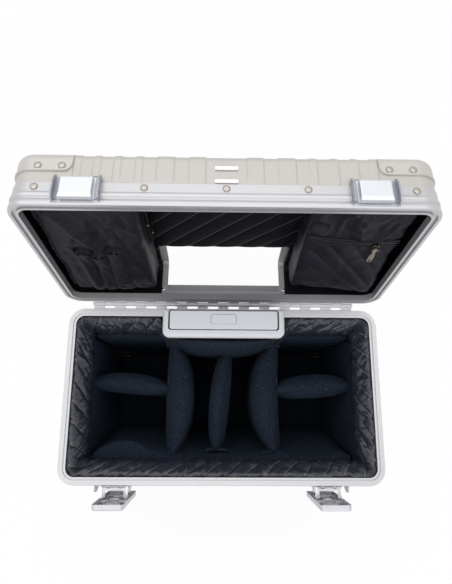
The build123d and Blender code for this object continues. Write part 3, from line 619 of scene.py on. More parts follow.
def clothPiece(name, rows, look, closed=False):  # closed rows make a tube with both ends filled
    count = len(rows[0])
    faces = []
    for r in range(len(rows) - 1):
        for c in range(count if closed else count - 1):
            d = (c + 1) % count
            faces.append((r * count + c, r * count + d, (r + 1) * count + d, (r + 1) * count + c))
    if closed:
        last = (len(rows) - 1) * count
        faces += [tuple(reversed(range(count))), tuple(range(last, last + count))]
    mesh = bpy.data.meshes.new(name)
    mesh.from_pydata([point for row in rows for point, mark in row], [], faces)
    marks = [mark for row in rows for point, mark in row]
    layer = mesh.uv_layers.new(name="cloth")
    for loop in mesh.loops:
        layer.data[loop.index].uv = [measure * mm for measure in marks[loop.vertex_index]]
    piece = placeNew(name, mesh)
    wear(piece, look)
    facesOut(piece)
    smoothShade(piece)
    return piece


def roundWay(stops, count):  # smooth line through a few points, evenly spaced
    fine = []
    pad = [stops[0]] + list(stops) + [stops[-1]]
    for i in range(1, len(pad) - 2):
        a, b, c, d = (Vector(pad[i + k]) for k in (-1, 0, 1, 2))
        for n in range(12):
            t = n / 12
            fine.append(0.5 * ((2 * b) + (c - a) * t + (2 * a - 5 * b + 4 * c - d) * t * t
                               + (3 * b - a - 3 * c + d) * t ** 3))
    fine.append(Vector(pad[-2]))
    lengths = [0.0]
    for a, b in zip(fine, fine[1:]):
        lengths.append(lengths[-1] + (b - a).length)
    way, k = [], 0
    for n in range(count):
        goal = lengths[-1] * n / (count - 1)
        while k < len(fine) - 2 and lengths[k + 1] < goal:
            k += 1
        way.append(fine[k].lerp(fine[k + 1], (goal - lengths[k]) / (lengths[k + 1] - lengths[k] or 1.0)))
    return way


def evenly(low, high, step):
    count = int((high - low) / step)
    return [low + (high - low) * n / count for n in range(count + 1)]


def aroundPoint(station, inset, corner):  # plan point of a rounded rectangle inside the case's sides
    kind, along = station  # sides are 0 to 3 from the front, a corner 0.5 less
    halfX, halfY = caseWidth / 2 - inset - corner, caseDepth / 2 - inset - corner
    middle = caseDepth / 2
    if kind == int(kind):
        run = 2 * along - 1
        x, y = {0: (run * halfX, -halfY - corner), 1: (halfX + corner, run * halfY),
                2: (-run * halfX, halfY + corner), 3: (-halfX - corner, -run * halfY)}[int(kind)]
        return x, middle + y
    number = int(kind + 0.5) % 4
    angle = math.radians(180 + 90 * (number + along))
    centreX = halfX if number in (1, 2) else -halfX
    centreY = halfY if number in (2, 3) else -halfY
    return centreX + corner * math.cos(angle), middle + centreY + corner * math.sin(angle)


def travel(stations, place):  # each station, and how far along the cloth it lies
    travelled, last = 0.0, None
    for station in stations:
        middle = place(station)
        travelled += math.dist(middle, last) if last else 0.0
        last = middle
        yield station, travelled


# Satin roll under the rim

roll = {"section": [(12.2, -6.0), (12.6, -3.2), (14.4, -2.0), (17.5, -3.2), (22.0, -8.2), (26.6, -14.4),
                    (29.8, -20.8), (31.2, -28.0), (30.8, -35.5), (28.0, -40.6), (20.0, -40.8),
                    (8.0, -40.4), (4.4, -36.0), (4.4, -20.0), (4.8, -11.5), (11.4, -10.8)],
        "around": 56, "step": 1.7, "cornerSteps": 34, "towerHalf": 92.0, "cornerLength": 31.0,
        "caseCorner": 24.0, "cornerOuter": 12.5, "cornerInner": 9.0, "lip": 12.0, "wide": 19.0,
        "middle": 24.0, "shown": 58.0, "fade": 14.0, "stitchDeep": 1.2, "stitchWide": 1.5, "seamCosine": 0.72,
        "puff": 0.9, "puffWide": 6.5, "crumple": 2.6, "finePucker": 1.1, "sag": 0.6,
        "folds": 8, "foldDeep": 3.2, "foldFrom": 22.0}


def ringStations():  # (corner or side number, fraction along it)
    long, short = caseWidth - 2 * roll["cornerLength"], caseDepth - 2 * roll["cornerLength"]
    reach = (long / 2 - roll["towerHalf"]) / long
    halfBack = int(reach * long / roll["step"])
    turn = [n / roll["cornerSteps"] for n in range(roll["cornerSteps"])]
    way = [(2, 1 - reach + reach * n / halfBack) for n in range(halfBack)]
    for side in (3, 0, 1):
        way += [(side - 0.5, along) for along in turn]
        steps = int((long if side == 0 else short) / roll["step"])
        way += [(side, n / steps) for n in range(steps)]
    way += [(1.5, along) for along in turn]
    return way + [(2, reach * n / halfBack) for n in range(halfBack + 1)]


def ringPoint(station, inset):
    blend = min(max((inset - roll["lip"]) / roll["wide"], 0.0), 1.0)
    corner = roll["cornerOuter"] + (roll["cornerInner"] - roll["cornerOuter"]) * blend
    return aroundPoint(station, inset, roll["caseCorner"] - inset if inset < roll["lip"] else corner)


def rollLift(station, travelled, w):  # how far the satin stands out, w across the roll
    pitch = seams["roll"]["pitch"]
    phase = (travelled - seams["roll"]["slant"] * w) / pitch
    near = abs(phase - round(phase)) * pitch * roll["seamCosine"]
    lift = roll["puff"] * min(1.0, near / roll["puffWide"])
    lift -= roll["stitchDeep"] * hump(near, roll["stitchWide"])
    drift = w * (0.35 + 0.5 * ripple(travelled / 60, 3.0, 2.0))
    lift += roll["crumple"] * (crease((travelled - drift) / 15, w / 34, 3.1) - 0.5)
    lift += 0.5 * roll["crumple"] * (crease((travelled + 0.6 * w) / 8.5, w / 13, 13.1) - 0.5)
    lift += roll["finePucker"] * ripple(travelled / 3.6, w / 10, 8.0) * math.exp(-near / 9)
    lift += roll["sag"] * ripple(travelled / 34, w / 26, 5.5)
    kind, along = station
    if kind != int(kind):  # gathered folds round a corner
        fold = math.sin(math.tau * roll["folds"] * along + 1.2 * ripple(w / 9, along * 4))
        lift += roll["foldDeep"] * math.sin(math.pi * along) * fold * min(1.0, w / roll["foldFrom"])
    return lift * max(0.0, min(1.0, (roll["shown"] - w) / roll["fade"])) * min(1.0, w / 5 + 0.25)


def makeRimRoll():
    stops = [(inset, height, 0) for inset, height in roll["section"] + roll["section"][:1]]
    outline = roundWay(stops, roll["around"] + 1)[:-1]
    across = [0.0]
    for a, b in zip(outline, outline[1:]):
        across.append(across[-1] + (b - a).length)
    rows = []
    for station, travelled in travel(ringStations(), lambda station: ringPoint(station, roll["middle"])):
        rows.append([])
        for k, (spot, w) in enumerate(zip(outline, across)):
            tangent = (outline[(k + 1) % len(outline)] - outline[k - 1]).normalized()
            lift = rollLift(station, travelled, w)
            x, y = ringPoint(station, spot.x - tangent.y * lift)
            rows[-1].append((inCase(x, y, rimTop + spot.y + tangent.x * lift), (travelled, w)))
    piece = clothPiece("satinRimRoll", rows, "satin", closed=True)
    finishSoft(piece, "case_body", "rim_roll")


makeRimRoll()
print("rim roll made")


# Quilted lining of the lid

lining = {"wall": 4.6, "ceiling": 59.6, "low": 10.6, "top": 46.0, "corner": 20.0, "leastCorner": 6.0,
          "bend": 11.0, "thick": 0.9, "edge": 17.0, "backEdge": 8.0, "step": 2.0, "puff": 1.3,
          "windowFront": 184.5, "windowLap": 2.0, "wallStep": 3.0, "cornerSteps": 18, "lastInset": 20.0}
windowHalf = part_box("lid_window_frame")[1].x / mm


def quiltLift(diagonal):  # height of the puff at x + y or x - y
    phase = (diagonal - seams["ceiling"]["start"]) / seams["ceiling"]["pitch"]
    near = abs(phase - round(phase)) * 2  # 0 on the seam, 1 between two seams
    return lining["puff"] * (1 - (1 - near) ** 3)


def overWindow(face):
    middle = lidShut @ face.calc_center_median()
    return (abs(middle.x) < (windowHalf - lining["windowLap"]) * mm
            and middle.y > frontY + lining["windowFront"] * mm)


def makeCeiling():
    half = caseWidth / 2 - lining["edge"]
    rows = []
    for y in evenly(lining["edge"], caseDepth - lining["backEdge"], lining["step"]):
        rows.append([])
        for x in evenly(-half, half, lining["step"]):
            lift = quiltLift(x + y) + 0.5 * ripple(x / 60, y / 60, 2.0)
            rows[-1].append((inLid(x, y, lining["ceiling"] - lift), (x, y)))
    piece = clothPiece("quiltedCeiling", rows, "quilt")
    changeMesh(piece, lambda shape: bmesh.ops.delete(shape, context="FACES",
                                                     geom=[f for f in shape.faces if overWindow(f)]))
    applyModifier(piece, "SOLIDIFY", thickness=lining["thick"] * mm, offset=0)
    finishSoft(piece, "lid", "lid_lining")


def wallProfile():  # (inset, height) up the wall and round into the ceiling
    low, top, ceiling = lining["low"], lining["top"], lining["ceiling"]
    profile = [(lining["wall"], low + (top - low) * n / 12) for n in range(13)]
    for n in range(1, 8):
        angle = math.pi / 2 * n / 7
        profile.append((lining["wall"] + lining["bend"] * (1 - math.cos(angle)) * 1.15,
                        top + (ceiling - top) * math.sin(angle)))
    return profile + [(lining["lastInset"], ceiling + 0.3)]


def wallStations():  # round the lid from one side of the window to the other
    start = 0.5 + windowHalf / caseWidth * 1.09
    turn = [n / lining["cornerSteps"] for n in range(lining["cornerSteps"])]
    stations = []
    for k in range(5):
        side = (2 + k) % 4
        first, end = (start if k == 0 else 0.0), (1 - start if k == 4 else 1.0)
        steps = max(2, int((caseDepth if side % 2 else caseWidth) * (end - first) / lining["wallStep"]))
        stations += [(side, first + (end - first) * n / steps) for n in range(steps)]
        if k < 4:
            stations += [((side + 0.5) % 4, along) for along in turn]
    return stations + [(2, 1 - start)]


def wallPoint(station, inset):
    return aroundPoint(station, inset, max(lining["corner"] - (inset - 4), lining["leastCorner"]))


def makeLidWalls():
    profile, rows = wallProfile(), []
    for station, travelled in travel(wallStations(), lambda station: wallPoint(station, 10.0)):
        rows.append([])
        for inset, s in profile:
            give = 0.7 * ripple(travelled / 26, s / 18, 9.0) + 0.8 * crease(travelled / 18, s / 40, 4.0)
            x, y = wallPoint(station, inset + max(0.0, give))
            rows[-1].append((inLid(x, y, s), (travelled, s)))
    piece = clothPiece("lidWallLining", rows, "lining")
    applyModifier(piece, "SOLIDIFY", thickness=lining["thick"] * mm, offset=0)
    finishSoft(piece, "lid")


makeCeiling()
makeLidWalls()
print("lid lining made")


# The two organiser pockets in the lid

pocket = {"step": 1.6, "round": 9.0, "skirt": 14, "foot": 59.0, "face": 15.0, "sway": 2.2}
leftPocket = {"x": (-214.0, -98.0), "y": (25.0, 229.0), "slotX": (-187.0, -169.0, -150.0, -127.0),
              "slotTop": (119.0, 126.0, 118.0), "slotProud": 5.5, "slotBow": 4.0, "mouth": 14.0,
              "mouthDeep": 5.0, "hollow": 3.0, "drape": 3.2, "creases": 1.8, "puckers": 0.9, "billow": 2.5,
              "foldEnd": 6.0,
              "folds": [((-196.0, 28.0, -152.0, 118.0), 7.0, 5.5), ((-176.0, 26.0, -108.0, 78.0), -2.6, 2.2),
                        ((-128.0, 84.0, -103.0, 190.0), -2.4, 2.0),
                        ((-190.0, 110.0, -176.0, 215.0), 3.0, 4.0)]}
rightPocket = {"x": (98.0, 213.0), "y": (25.0, 229.0), "zipY": 91.0, "zipBow": 9.0, "zipSink": 1.2,
               "lean": 7.0, "hollow": 5.0, "folds": 5.5, "creases": 2.4, "puckers": 0.7, "slackOver": 12.0,
               "puff": 1.5, "billow": 3.0, "rumple": 1.2, "slackUnder": 16.0}


def zipLine(x):  # the right pocket's zip runs in a shallow bow
    x0, x1 = rightPocket["x"]
    return rightPocket["zipY"] + rightPocket["zipBow"] * math.sin(math.pi * (x - x0) / (x1 - x0))


def rightFace(x, y):  # height of the pocket's cloth over the parting plane
    plan, (x0, x1) = rightPocket, rightPocket["x"]
    along, down = (x - x0) / (x1 - x0), y - zipLine(x)
    s = pocket["face"] + plan["lean"] * (1 - along) - plan["hollow"] * hump(y - 200, 45) * (0.5 + along)
    if down < 0:  # puckered cloth over the zip
        slack = min(1.0, -down / plan["slackOver"])
        s -= slack * (plan["folds"] * crease(x / 42 + y / 95, y / 60 - x / 160, 1.7) - 2.0)
        s -= slack * plan["creases"] * crease(x / 15 + y / 60, y / 28, 6.2)
        s -= slack * plan["puckers"] * ripple(x / 6, y / 9, 2.2)
    else:  # quilted cloth under it
        slack = min(1.0, down / plan["slackUnder"])
        s -= slack * plan["puff"] * quiltLift(x - 0.86 * y + 15 * ripple(x / 80, y / 80, 3.0))
        s -= slack * plan["billow"] * ripple(x / 48, y / 55, 4.4)
        s -= slack * plan["rumple"] * crease(x / 26, y / 34, 5.1)
    return s - plan["zipSink"] * hump(down, 5.0)


def slots():  # each pen slot's number, middle, half width and top
    edges = leftPocket["slotX"]
    for k, (low, high, top) in enumerate(zip(edges, edges[1:], leftPocket["slotTop"])):
        yield k, (low + high) / 2, (high - low) / 2, top


def leftFace(x, y):
    plan, end = leftPocket, leftPocket["foldEnd"]
    s = pocket["face"] - plan["hollow"] * hump(y - 205, 40)
    s -= plan["drape"] * crease((x + y * 0.55) / 46, (y - x) / 150, 11.0) * hump(y - 85, 60)
    s -= plan["creases"] * crease((x - y * 0.3) / 22, y / 60, 12.5)
    s -= plan["puckers"] * ripple(x / 7, y / 13, 5.0)
    for (xa, ya, xb, yb), deep, wide in plan["folds"]:
        run = math.hypot(xb - xa, yb - ya)
        along = ((x - xa) * (xb - xa) + (y - ya) * (yb - ya)) / run
        aside = ((x - xa) * (yb - ya) - (y - ya) * (xb - xa)) / run
        inside = min(along, run - along) + end  # how far from the fold's nearer end
        if inside > 0:
            s -= deep * hump(aside, wide) * min(1.0, inside / (2 * end))
    s -= plan["billow"] * max(0.0, ripple(x / 30, y / 36, 7.7))
    for k, middle, half, top in slots():
        if abs(x - middle) <= half:
            off = ((x - middle) / half) ** 2
            top += plan["slotBow"] * off
            if y > top:
                tube = math.sqrt(max(0.0, 1 - off))
                s -= plan["slotProud"] * tube * (0.75 + 0.25 * math.exp(-(y - top) / 12))
                s += crease(x / 14, y / 16, 3.0 + k)
            elif y > top - plan["mouth"]:  # the slot's dark mouth
                s += plan["mouthDeep"] * (y - top + plan["mouth"]) / plan["mouth"]
    return s


def fillBack(shape):  # closes the open side against the lining
    bmesh.ops.remove_doubles(shape, verts=shape.verts, dist=0.01 * mm)
    bmesh.ops.contextual_create(shape, geom=openEdges(shape))


def makePocket(name, plan, face, node):
    (x0, x1), (y0, y1) = plan["x"], plan["y"]
    wide, tall = int((x1 - x0) / pocket["step"]), int((y1 - y0) / pocket["step"])
    skirt, turn = pocket["skirt"], pocket["round"]
    rows = []
    for j in range(-skirt, tall + skirt + 1):
        rows.append([])
        for i in range(-skirt, wide + skirt + 1):
            x = x0 + (x1 - x0) * min(max(i, 0), wide) / wide
            y = y0 + (y1 - y0) * min(max(j, 0), tall) / tall
            edge = min(x - x0, x1 - x, y - y0, y1 - y)
            s = face(x, y) + turn - math.sqrt(max(0.0, turn ** 2 - max(0.0, turn - edge) ** 2))
            over = max(-i, i - wide, -j, j - tall, 0)
            if over:  # side wall, down to the lining
                s += (pocket["foot"] - s) * over / skirt
                sway = pocket["sway"] * ripple((x + y) / 17, s / 22, 6.6) * math.sin(math.pi * over / skirt)
                x += sway if i > wide else -sway if i < 0 else 0
                y += sway if j > tall else -sway if j < 0 else 0
            rows[-1].append((inLid(x, y, s), (x, y)))
    piece = clothPiece(name, rows, "pocket")
    changeMesh(piece, fillBack)
    facesOut(piece)
    finishSoft(piece, "lid", node)


makePocket("leftPocketCloth", leftPocket, leftFace, "lid_pocket_left")
makePocket("rightPocketCloth", rightPocket, rightFace, "lid_pocket_right")
print("lid pockets made")


# Rivets and screws, each seated on the metal under it

rivet = {"radius": 4.1, "height": 2.1, "sides": 20, "lidFlange": 22.5, "baseFlange": -22.5,
         "lidGuard": 50.0, "guardDown": 13.5, "across": (0.0, 85.3, 199.0), "sideIn": 31.0,
         "guardIn": (30.5, 56.0), "reach": 60.0,
         "dome": ((0.35, 1.0), (0.27, 0.88), (0.22, 0.76), (0.12, 0.62), (0.04, 0.4))}
windowScrew = {"radius": 2.6, "height": 1.3, "spots": (((89.6, 189.8, 5.0), (0, 0, 1)),
                                                       ((89.6, 200.0, 20.0), (0, 1, 0)))}
trimBars = {"proud": 0.8, "bevel": 0.35}


def makeHead(radius, height):  # a domed head on z = 0, shaped from a disc
    head = addPrimitive("circle", vertices=rivet["sides"], radius=radius * mm, fill_type="NGON")
    openEdit(head)
    for rise, scale in rivet["dome"]:
        bpy.ops.mesh.extrude_region_move(TRANSFORM_OT_translate={"value": (0, 0, rise * height * mm)})
        bpy.ops.transform.resize(value=(scale, scale, 1))
    closeEdit()
    smoothShade(head)
    return head


def seatOn(names, start, way):  # where a line from start first meets one of the nodes
    casts = [nodes[name].ray_cast(start, way) for name in names]
    meets = [(spot, normal) for hit, spot, normal, face in casts if hit]
    if not meets:
        raise RuntimeError("nothing to seat on among " + ", ".join(names))
    spot, normal = min(meets, key=lambda meet: (meet[0] - start).length)
    if normal.dot(way) > 0:
        normal = -normal
    return Matrix.Translation(spot) @ normal.to_track_quat("Z", "Y").to_matrix().to_4x4()


def seatRow(name, names, rays, size, look, body):
    master = makeHead(size["radius"], size["height"])
    copies = [copyPiece(master, seatOn(names, start, way)) for start, way in rays]
    bpy.data.objects.remove(master)
    finishHard(joinPieces(name, copies), look, body)


def aroundCase(acrossSpots, inSpots, back=True):  # (x, y, outward x, outward y) round a case
    spots = []
    for x in acrossSpots:
        for sign in ((1, -1) if x else (1,)):
            spots.append((sign * x, 0.0, 0, -1))
            if back:
                spots.append((sign * x, caseDepth, 0, 1))
    return spots + [(sign * caseWidth / 2, y, sign, 0) for y in inSpots for sign in (1, -1)]


def rivetRow(name, body, names, spots, height):
    place = inLid if body == "lid" else inCase
    rays = []
    for x, y, outX, outY in spots:
        start = place(x + outX * rivet["reach"], y + outY * rivet["reach"], height)
        rays.append((start, (place(x, y, height) - start).normalized()))
    seatRow(name, names, rays, rivet, "rivet", body)


def makeRivets():
    sideIns = (rivet["sideIn"], caseDepth / 2, caseDepth - rivet["sideIn"])
    flange = aroundCase(rivet["across"], sideIns, back=False)
    corner = [caseWidth / 2 - away for away in rivet["guardIn"]]
    guard = aroundCase(corner, list(rivet["guardIn"]) + [caseDepth - away for away in rivet["guardIn"]])
    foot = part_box("base_corner_guards")[0].z / mm + rivet["guardDown"]
    rivetRow("lidFlangeRivets", "lid", ["lid_rim_frame", "lid_shell"], flange, rivet["lidFlange"])
    rivetRow("lidGuardRivets", "lid", ["lid_corner_guards", "lid_shell"], guard, rivet["lidGuard"])
    rivetRow("baseFlangeRivets", "case_body", ["base_rim_frame", "base_shell_walls"], flange,
             rimTop + rivet["baseFlange"])
    rivetRow("baseGuardRivets", "case_body", ["base_corner_guards", "base_shell_walls"],
             aroundCase(corner, rivet["guardIn"], back=False), foot)


def makeWindowScrews():
    turned = lidPlace.to_3x3()
    rays = [(inLid(sign * x, y, s), turned @ Vector(way))
            for sign in (1, -1) for (x, y, s), way in windowScrew["spots"]]
    seatRow("windowScrews", ["lid_window_frame", "lid_rim_frame", "lid_shell"], rays, windowScrew,
            "steel", "lid")


def makeTrimBars():  # bright bars, standing clear of the ribs
    bars = copySolid("brightBars", "lid_trim_bars", "bar")
    outward = lidPlace.to_3x3() @ Vector((0, -1, 0))
    bars.data.transform(Matrix.Translation(outward * trimBars["proud"] * mm))
    applyModifier(bars, "BEVEL", width=trimBars["bevel"] * mm, segments=2, limit_method="ANGLE")
    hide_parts("lid_trim_bars")
    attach(bars, "lid")


makeRivets()
makeWindowScrews()
makeTrimBars()
print("rivets and screws seated")


# Springs and wire inside the open latch levers, from the lever's pivot, and the links' straps

spring = {"coil": 2.3, "wire": 0.5, "sides": 8, "sink": 0.4, "turns": 7, "pitch": 1.5, "steps": 14,
          "in": 11.0, "leg": ((6.0, 2.4, 0.0), (5.6, 2.6, -4.0), (5.2, -1.6, -9.0), (4.4, -1.9, -13.0))}
clip = {"size": (14.0, 8.0), "gauge": 1.0, "rim": 1.6, "dish": 1.2, "lip": 1.2, "rise": 1.8, "bevel": 0.25,
        "out": 0.6, "spots": ((-9.0, 0.25), (-31.0, -0.3))}
wireBar = {"wire": 0.78, "half": ((-16.0, -2.4, -28.0), (-16.0, 1.5, -33.0), (-12.0, 2.0, -36.0))}
strap = {"outer": 17.0, "inner": 13.0, "barWide": 4.6, "past": 1.0, "legEnd": 0.76, "gauge": 1.6,
         "bevel": 0.3}


def makeSpring():  # a coil along x, centred on the origin
    wire = addPrimitive("circle", vertices=spring["sides"], radius=spring["wire"] * mm,
                        location=(spring["coil"] * mm, 0, 0), rotation=(math.pi / 2, 0, 0))
    bpy.ops.object.transform_apply(location=True, rotation=True, scale=True)
    applyModifier(wire, "SCREW", screw_offset=spring["pitch"] * mm, iterations=spring["turns"],
                  steps=spring["steps"], render_steps=spring["steps"], axis="Z", use_merge_vertices=False)
    half = spring["turns"] * spring["pitch"] * mm / 2
    wire.data.transform(Matrix.Rotation(math.pi / 2, 4, "Y") @ Matrix.Translation((0, 0, -half)))
    changeMesh(wire, lambda shape: bmesh.ops.holes_fill(shape, edges=openEdges(shape)))
    facesOut(wire)
    return wire


def bentWire(name, origin, stops, radius):  # stops in mm from the origin
    curve = bpy.data.curves.new(name, "CURVE")
    curve.dimensions = "3D"
    curve.bevel_depth = radius * mm
    curve.bevel_resolution = 2
    curve.use_fill_caps = True
    line = curve.splines.new("POLY")
    line.points.add(len(stops) - 1)
    for point, stop in zip(line.points, stops):
        point.co = (*(origin + Vector(stop) * mm), 1)
    pick(placeNew(name, curve))
    bpy.ops.object.convert(target="MESH")
    bpy.ops.object.shade_smooth()
    return bpy.context.object


def makeClip():  # a dished sheet clip with a raised middle, open towards the case
    piece = addPrimitive("plane", size=2 * mm, location=(0, 0, 0), rotation=(math.pi / 2, 0, 0))
    bpy.ops.object.transform_apply(location=True, rotation=True, scale=True)
    openEdit(piece)
    bpy.ops.transform.resize(value=(clip["size"][0] / 2, 1, clip["size"][1] / 2))
    bpy.ops.mesh.inset(thickness=clip["rim"] * mm, depth=-clip["dish"] * mm)
    bpy.ops.mesh.inset(thickness=clip["lip"] * mm, depth=clip["rise"] * mm)
    closeEdit()
    applyModifier(piece, "SOLIDIFY", thickness=clip["gauge"] * mm, offset=0)
    applyModifier(piece, "BEVEL", width=clip["bevel"] * mm, segments=2)
    return piece


def makeStrap(side, hinged, pivot):  # the link's sheet strap: a crossbar with two legs
    rows = ((pivot.y - hinged.y) / mm * strap["legEnd"], -strap["barWide"], strap["past"])
    columns = (-strap["outer"], -strap["inner"], strap["inner"], strap["outer"])
    piece = addPrimitive("grid", x_subdivisions=3, y_subdivisions=2, size=2)
    piece.name = piece.data.name = "latchStrap" + side.capitalize()
    for vertex in piece.data.vertices:
        column, row = round((vertex.co.x + 1) * 1.5), round(vertex.co.y + 1)
        vertex.co = (columns[column] * mm, rows[row] * mm, 0)
    openEdit(piece)
    bpy.ops.mesh.select_mode(type="FACE")
    bpy.ops.mesh.select_all(action="DESELECT")
    closeEdit()
    for face in piece.data.polygons:  # the field between the legs
        face.select = abs(face.center.x) < strap["inner"] * mm and face.center.y < -strap["barWide"] * mm
    bpy.ops.object.mode_set(mode="EDIT")
    bpy.ops.mesh.delete(type="FACE")
    closeEdit()
    applyModifier(piece, "SOLIDIFY", thickness=strap["gauge"] * mm, offset=0)
    applyModifier(piece, "BEVEL", width=strap["bevel"] * mm, segments=2)
    piece.data.transform(Matrix.Translation(hinged))
    finishHard(piece, "bright", "latch_link_" + side)


def jointSpot(name):
    return Vector(next(j["pos_m"] for j in frame["joints"] if j["name"] == name))


def makeLatchWork(side):
    pivot = jointSpot("latch_lever_" + side + "_turn")
    makeStrap(side, jointSpot("latch_link_" + side + "_swing"), pivot)
    coil, plate, parts = makeSpring(), makeClip(), []
    for sign in (1, -1):
        spot = pivot + Vector((sign * spring["in"], 0, -spring["sink"])) * mm
        parts.append(copyPiece(coil, Matrix.Translation(spot)))
        parts.append(bentWire("springLeg", pivot, [(sign * x, y, z) for x, y, z in spring["leg"]],
                              spring["wire"]))
    for drop, turn in clip["spots"]:
        parts.append(copyPiece(plate, Matrix.Translation(pivot + Vector((0, clip["out"], drop)) * mm)
                               @ Matrix.Rotation(turn, 4, "X")))
    half = list(wireBar["half"])
    stops = half + [(-x, y, z) for x, y, z in reversed(half)]
    parts.append(bentWire("wireBar", pivot, stops, wireBar["wire"]))
    for master in (coil, plate):
        bpy.data.objects.remove(master)
    work = joinPieces("latchSprings" + side.capitalize(), parts)
    finishHard(work, "bright", "latch_lever_" + side)


for side in ("left", "right"):
    makeLatchWork(side)
print("latch springs made")


# Zips: teeth, flaps and the hems of the pockets

zipper = {"tooth": (1.5, 1.1, 1.3), "bevel": 0.22, "apart": 0.55, "pitch": 1.7, "sink": 0.6, "endIn": 2.0,
          "leftHeight": 43.0, "leftIn": 2.4, "leftRuns": (10, 60, 120, 190)}
hem = {"sides": 10, "tip": 0.2}
flap = {"off": 5.2, "sink": 0.3, "step": 2.0, "size": 1.5, "pucker": 0.35}
slotHem = {"in": 0.8, "drop": 1.5, "under": 3.0, "sink": 0.4, "step": 1.6, "size": 1.5, "pucker": 0.5}
welt = {"in": 1.5, "lift": 0.45, "stops": (34, 60, 90, 130, 175, 222), "step": 2.0, "size": 1.8,
        "pucker": 0.3}
elastic = {"in": 2.0, "lift": 0.4, "stops": range(32, 224, 8), "wander": 2.0, "step": 1.5, "size": 2.2,
           "pucker": 0.9}


def alongWay(stops, pitch):
    total = sum((b - a).length for a, b in zip(stops, stops[1:]))
    return roundWay(stops, max(2, int(total / pitch)))


def makeTeeth(name, stops, up):  # two interlocked rows of small blocks along a way
    tooth = addPrimitive("cube", size=1)
    openEdit(tooth)
    bpy.ops.transform.resize(value=[side * mm for side in zipper["tooth"]])
    bpy.ops.mesh.bevel(offset=zipper["bevel"] * mm, segments=1)
    closeEdit()
    way, copies = alongWay(stops, zipper["pitch"]), []
    for k, (a, b) in enumerate(zip(way, way[1:])):
        run = (b - a).normalized()
        out = (up - run * up.dot(run)).normalized()
        aside = out.cross(run) * (1 if k % 2 else -1)
        turn = Matrix((aside, run, out)).transposed().to_4x4()
        if turn.determinant() < 0:
            turn = Matrix((-aside, run, out)).transposed().to_4x4()
        spot = (a + b) / 2 * mm + aside * zipper["apart"] * mm
        copies.append(copyPiece(tooth, Matrix.Translation(spot) @ turn))
    bpy.data.objects.remove(tooth)
    row = joinPieces(name, copies)
    row.data.transform(lidPlace @ Matrix.Translation((0, frontY, rimTop * mm)))
    finishHard(row, "teeth", "lid")


def makeHem(name, stops, plan):  # a round edge binding along a way
    way, rows = alongWay(stops, plan["step"]), []
    for k, spot in enumerate(way):
        run = (way[min(k + 1, len(way) - 1)] - way[max(k - 1, 0)]).normalized()
        side = run.cross(Vector((0, 0, 1))).normalized()
        up = side.cross(run)
        rows.append([])
        for n in range(hem["sides"]):
            angle = math.tau * n / hem["sides"]
            size = plan["size"] * (1 + plan["pucker"] * ripple(k / 1.9, n / 4, 4.0))
            size *= hem["tip"] if k in (0, len(way) - 1) else 1
            point = spot + side * math.cos(angle) * size + up * math.sin(angle) * size
            rows[-1].append((inLid(*point), (k, angle * plan["size"])))
    finishSoft(clothPiece(name, rows, "pocket", closed=True), "lid")


def makeZips():
    x0, x1 = (x + turn * zipper["endIn"] for x, turn in zip(rightPocket["x"], (1, -1)))
    right = [Vector((x, zipLine(x), rightFace(x, zipLine(x)) - zipper["sink"]))
             for x in (x0 + (x1 - x0) * n / 8 for n in range(9))]
    makeTeeth("rightZipTeeth", right, Vector((0, 0, -1)))
    left = [Vector((leftPocket["x"][1] + zipper["leftIn"], leftPocket["y"][0] + run, zipper["leftHeight"]))
            for run in zipper["leftRuns"]]
    makeTeeth("leftZipTeeth", left, Vector((1, 0, 0)))
    for name, off in (("zipFlapOver", -flap["off"]), ("zipFlapUnder", flap["off"])):
        edge = [Vector((v.x, v.y + off, rightFace(v.x, v.y + off) - flap["sink"])) for v in right]
        makeHem(name, edge, flap)


def makeHems():
    for k, middle, half, top in slots():
        edge = []
        for n in range(7):
            off = n / 3 - 1  # -1 to 1 over the slot
            x, y = middle + (half - slotHem["in"]) * off, top + off ** 2 * leftPocket["slotBow"]
            edge.append(Vector((x, y + slotHem["drop"], leftFace(x, y + slotHem["under"]) - slotHem["sink"])))
        makeHem("penSlotHem" + str(k + 1), edge, slotHem)
    x = rightPocket["x"][0] + welt["in"]
    makeHem("pocketWelt", [Vector((x, y, rightFace(x, y) + pocket["round"] * welt["lift"]))
                           for y in welt["stops"]], welt)
    x = leftPocket["x"][0] + elastic["in"]
    makeHem("pocketElastic", [Vector((x + elastic["wander"] * ripple(y / 30, 1.0), y,
                                      leftFace(x + 4, y) + pocket["round"] * elastic["lift"]))
                              for y in elastic["stops"]], elastic)


makeZips()
makeHems()
print("zips and hems made")


# Felt tabs that hold the dividers to the walls

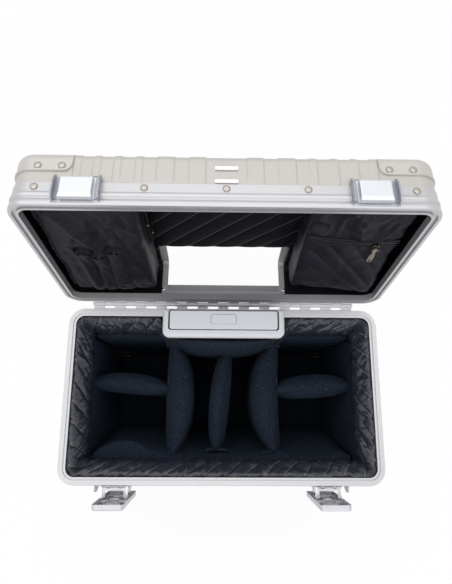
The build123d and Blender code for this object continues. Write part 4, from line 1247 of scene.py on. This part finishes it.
tab = {"thick": 3.6, "wide": 34.0, "tall": 96.0, "drop": 8.0, "cuts": 5, "curl": 2.2, "longCurl": 0.6,
       "sway": 1.5, "swayWide": 9.0, "swayTall": 40.0, "bevel": 1.1, "in": 1.0, "near": 14.0}


def makeTab(name, spot, faceAcross):  # spot is the tab's middle at its top edge
    wide, thin = (1, 0) if faceAcross else (0, 1)
    size = [0, 0, tab["tall"] * mm]
    size[wide], size[thin] = tab["wide"] * mm, tab["thick"] * mm
    bow = (1 if spot.x <= 0 else -1) if faceAcross else -tab["longCurl"]
    piece = addPrimitive("cube", size=1)
    piece.name = piece.data.name = name
    openEdit(piece)
    bpy.ops.transform.resize(value=size)
    bpy.ops.mesh.subdivide(number_cuts=tab["cuts"])
    closeEdit()
    for vertex in piece.data.vertices:
        across = vertex.co[wide] / mm
        vertex.co[thin] += bow * tab["curl"] * (across / (tab["wide"] / 2)) ** 2 * mm
        vertex.co.z += tab["sway"] * mm * ripple(across / tab["swayWide"],
                                                 vertex.co.z / (tab["swayTall"] * mm), spot.x * 90)
    piece.data.transform(Matrix.Translation(spot - Vector((0, 0, tab["tall"] * mm / 2))))
    applyModifier(piece, "BEVEL", width=tab["bevel"] * mm, segments=2)
    wear(piece, "felt")
    smoothShade(piece)
    finishSoft(piece, "case_body")


def endMiddle(piece, y):  # where a long divider's end lies across the case
    near = [v.co.x for v in piece.data.vertices if abs(v.co.y - y) < tab["near"] * mm]
    return sum(near) / len(near)


def makeTabs(piece):
    (lowX, highX), (lowY, highY), (_, top) = (reachOf(piece, axis) for axis in range(3))
    crossed, step = piece.name.endswith("cross"), tab["in"] * mm
    if crossed:
        ends = [(lowX + step, (lowY + highY) / 2), (highX - step, (lowY + highY) / 2)]
    else:
        ends = [(endMiddle(piece, highY), highY - step), (endMiddle(piece, lowY), lowY + step)]
    for k, (x, y) in enumerate(ends):
        spot = Vector((x, y, top - tab["drop"] * mm))
        makeTab(piece.name.replace("wall_", "tab_") + str(k + 1), spot, crossed)


for piece in soft:
    if piece.name.startswith("wall_"):
        makeTabs(piece)
print("divider tabs made")
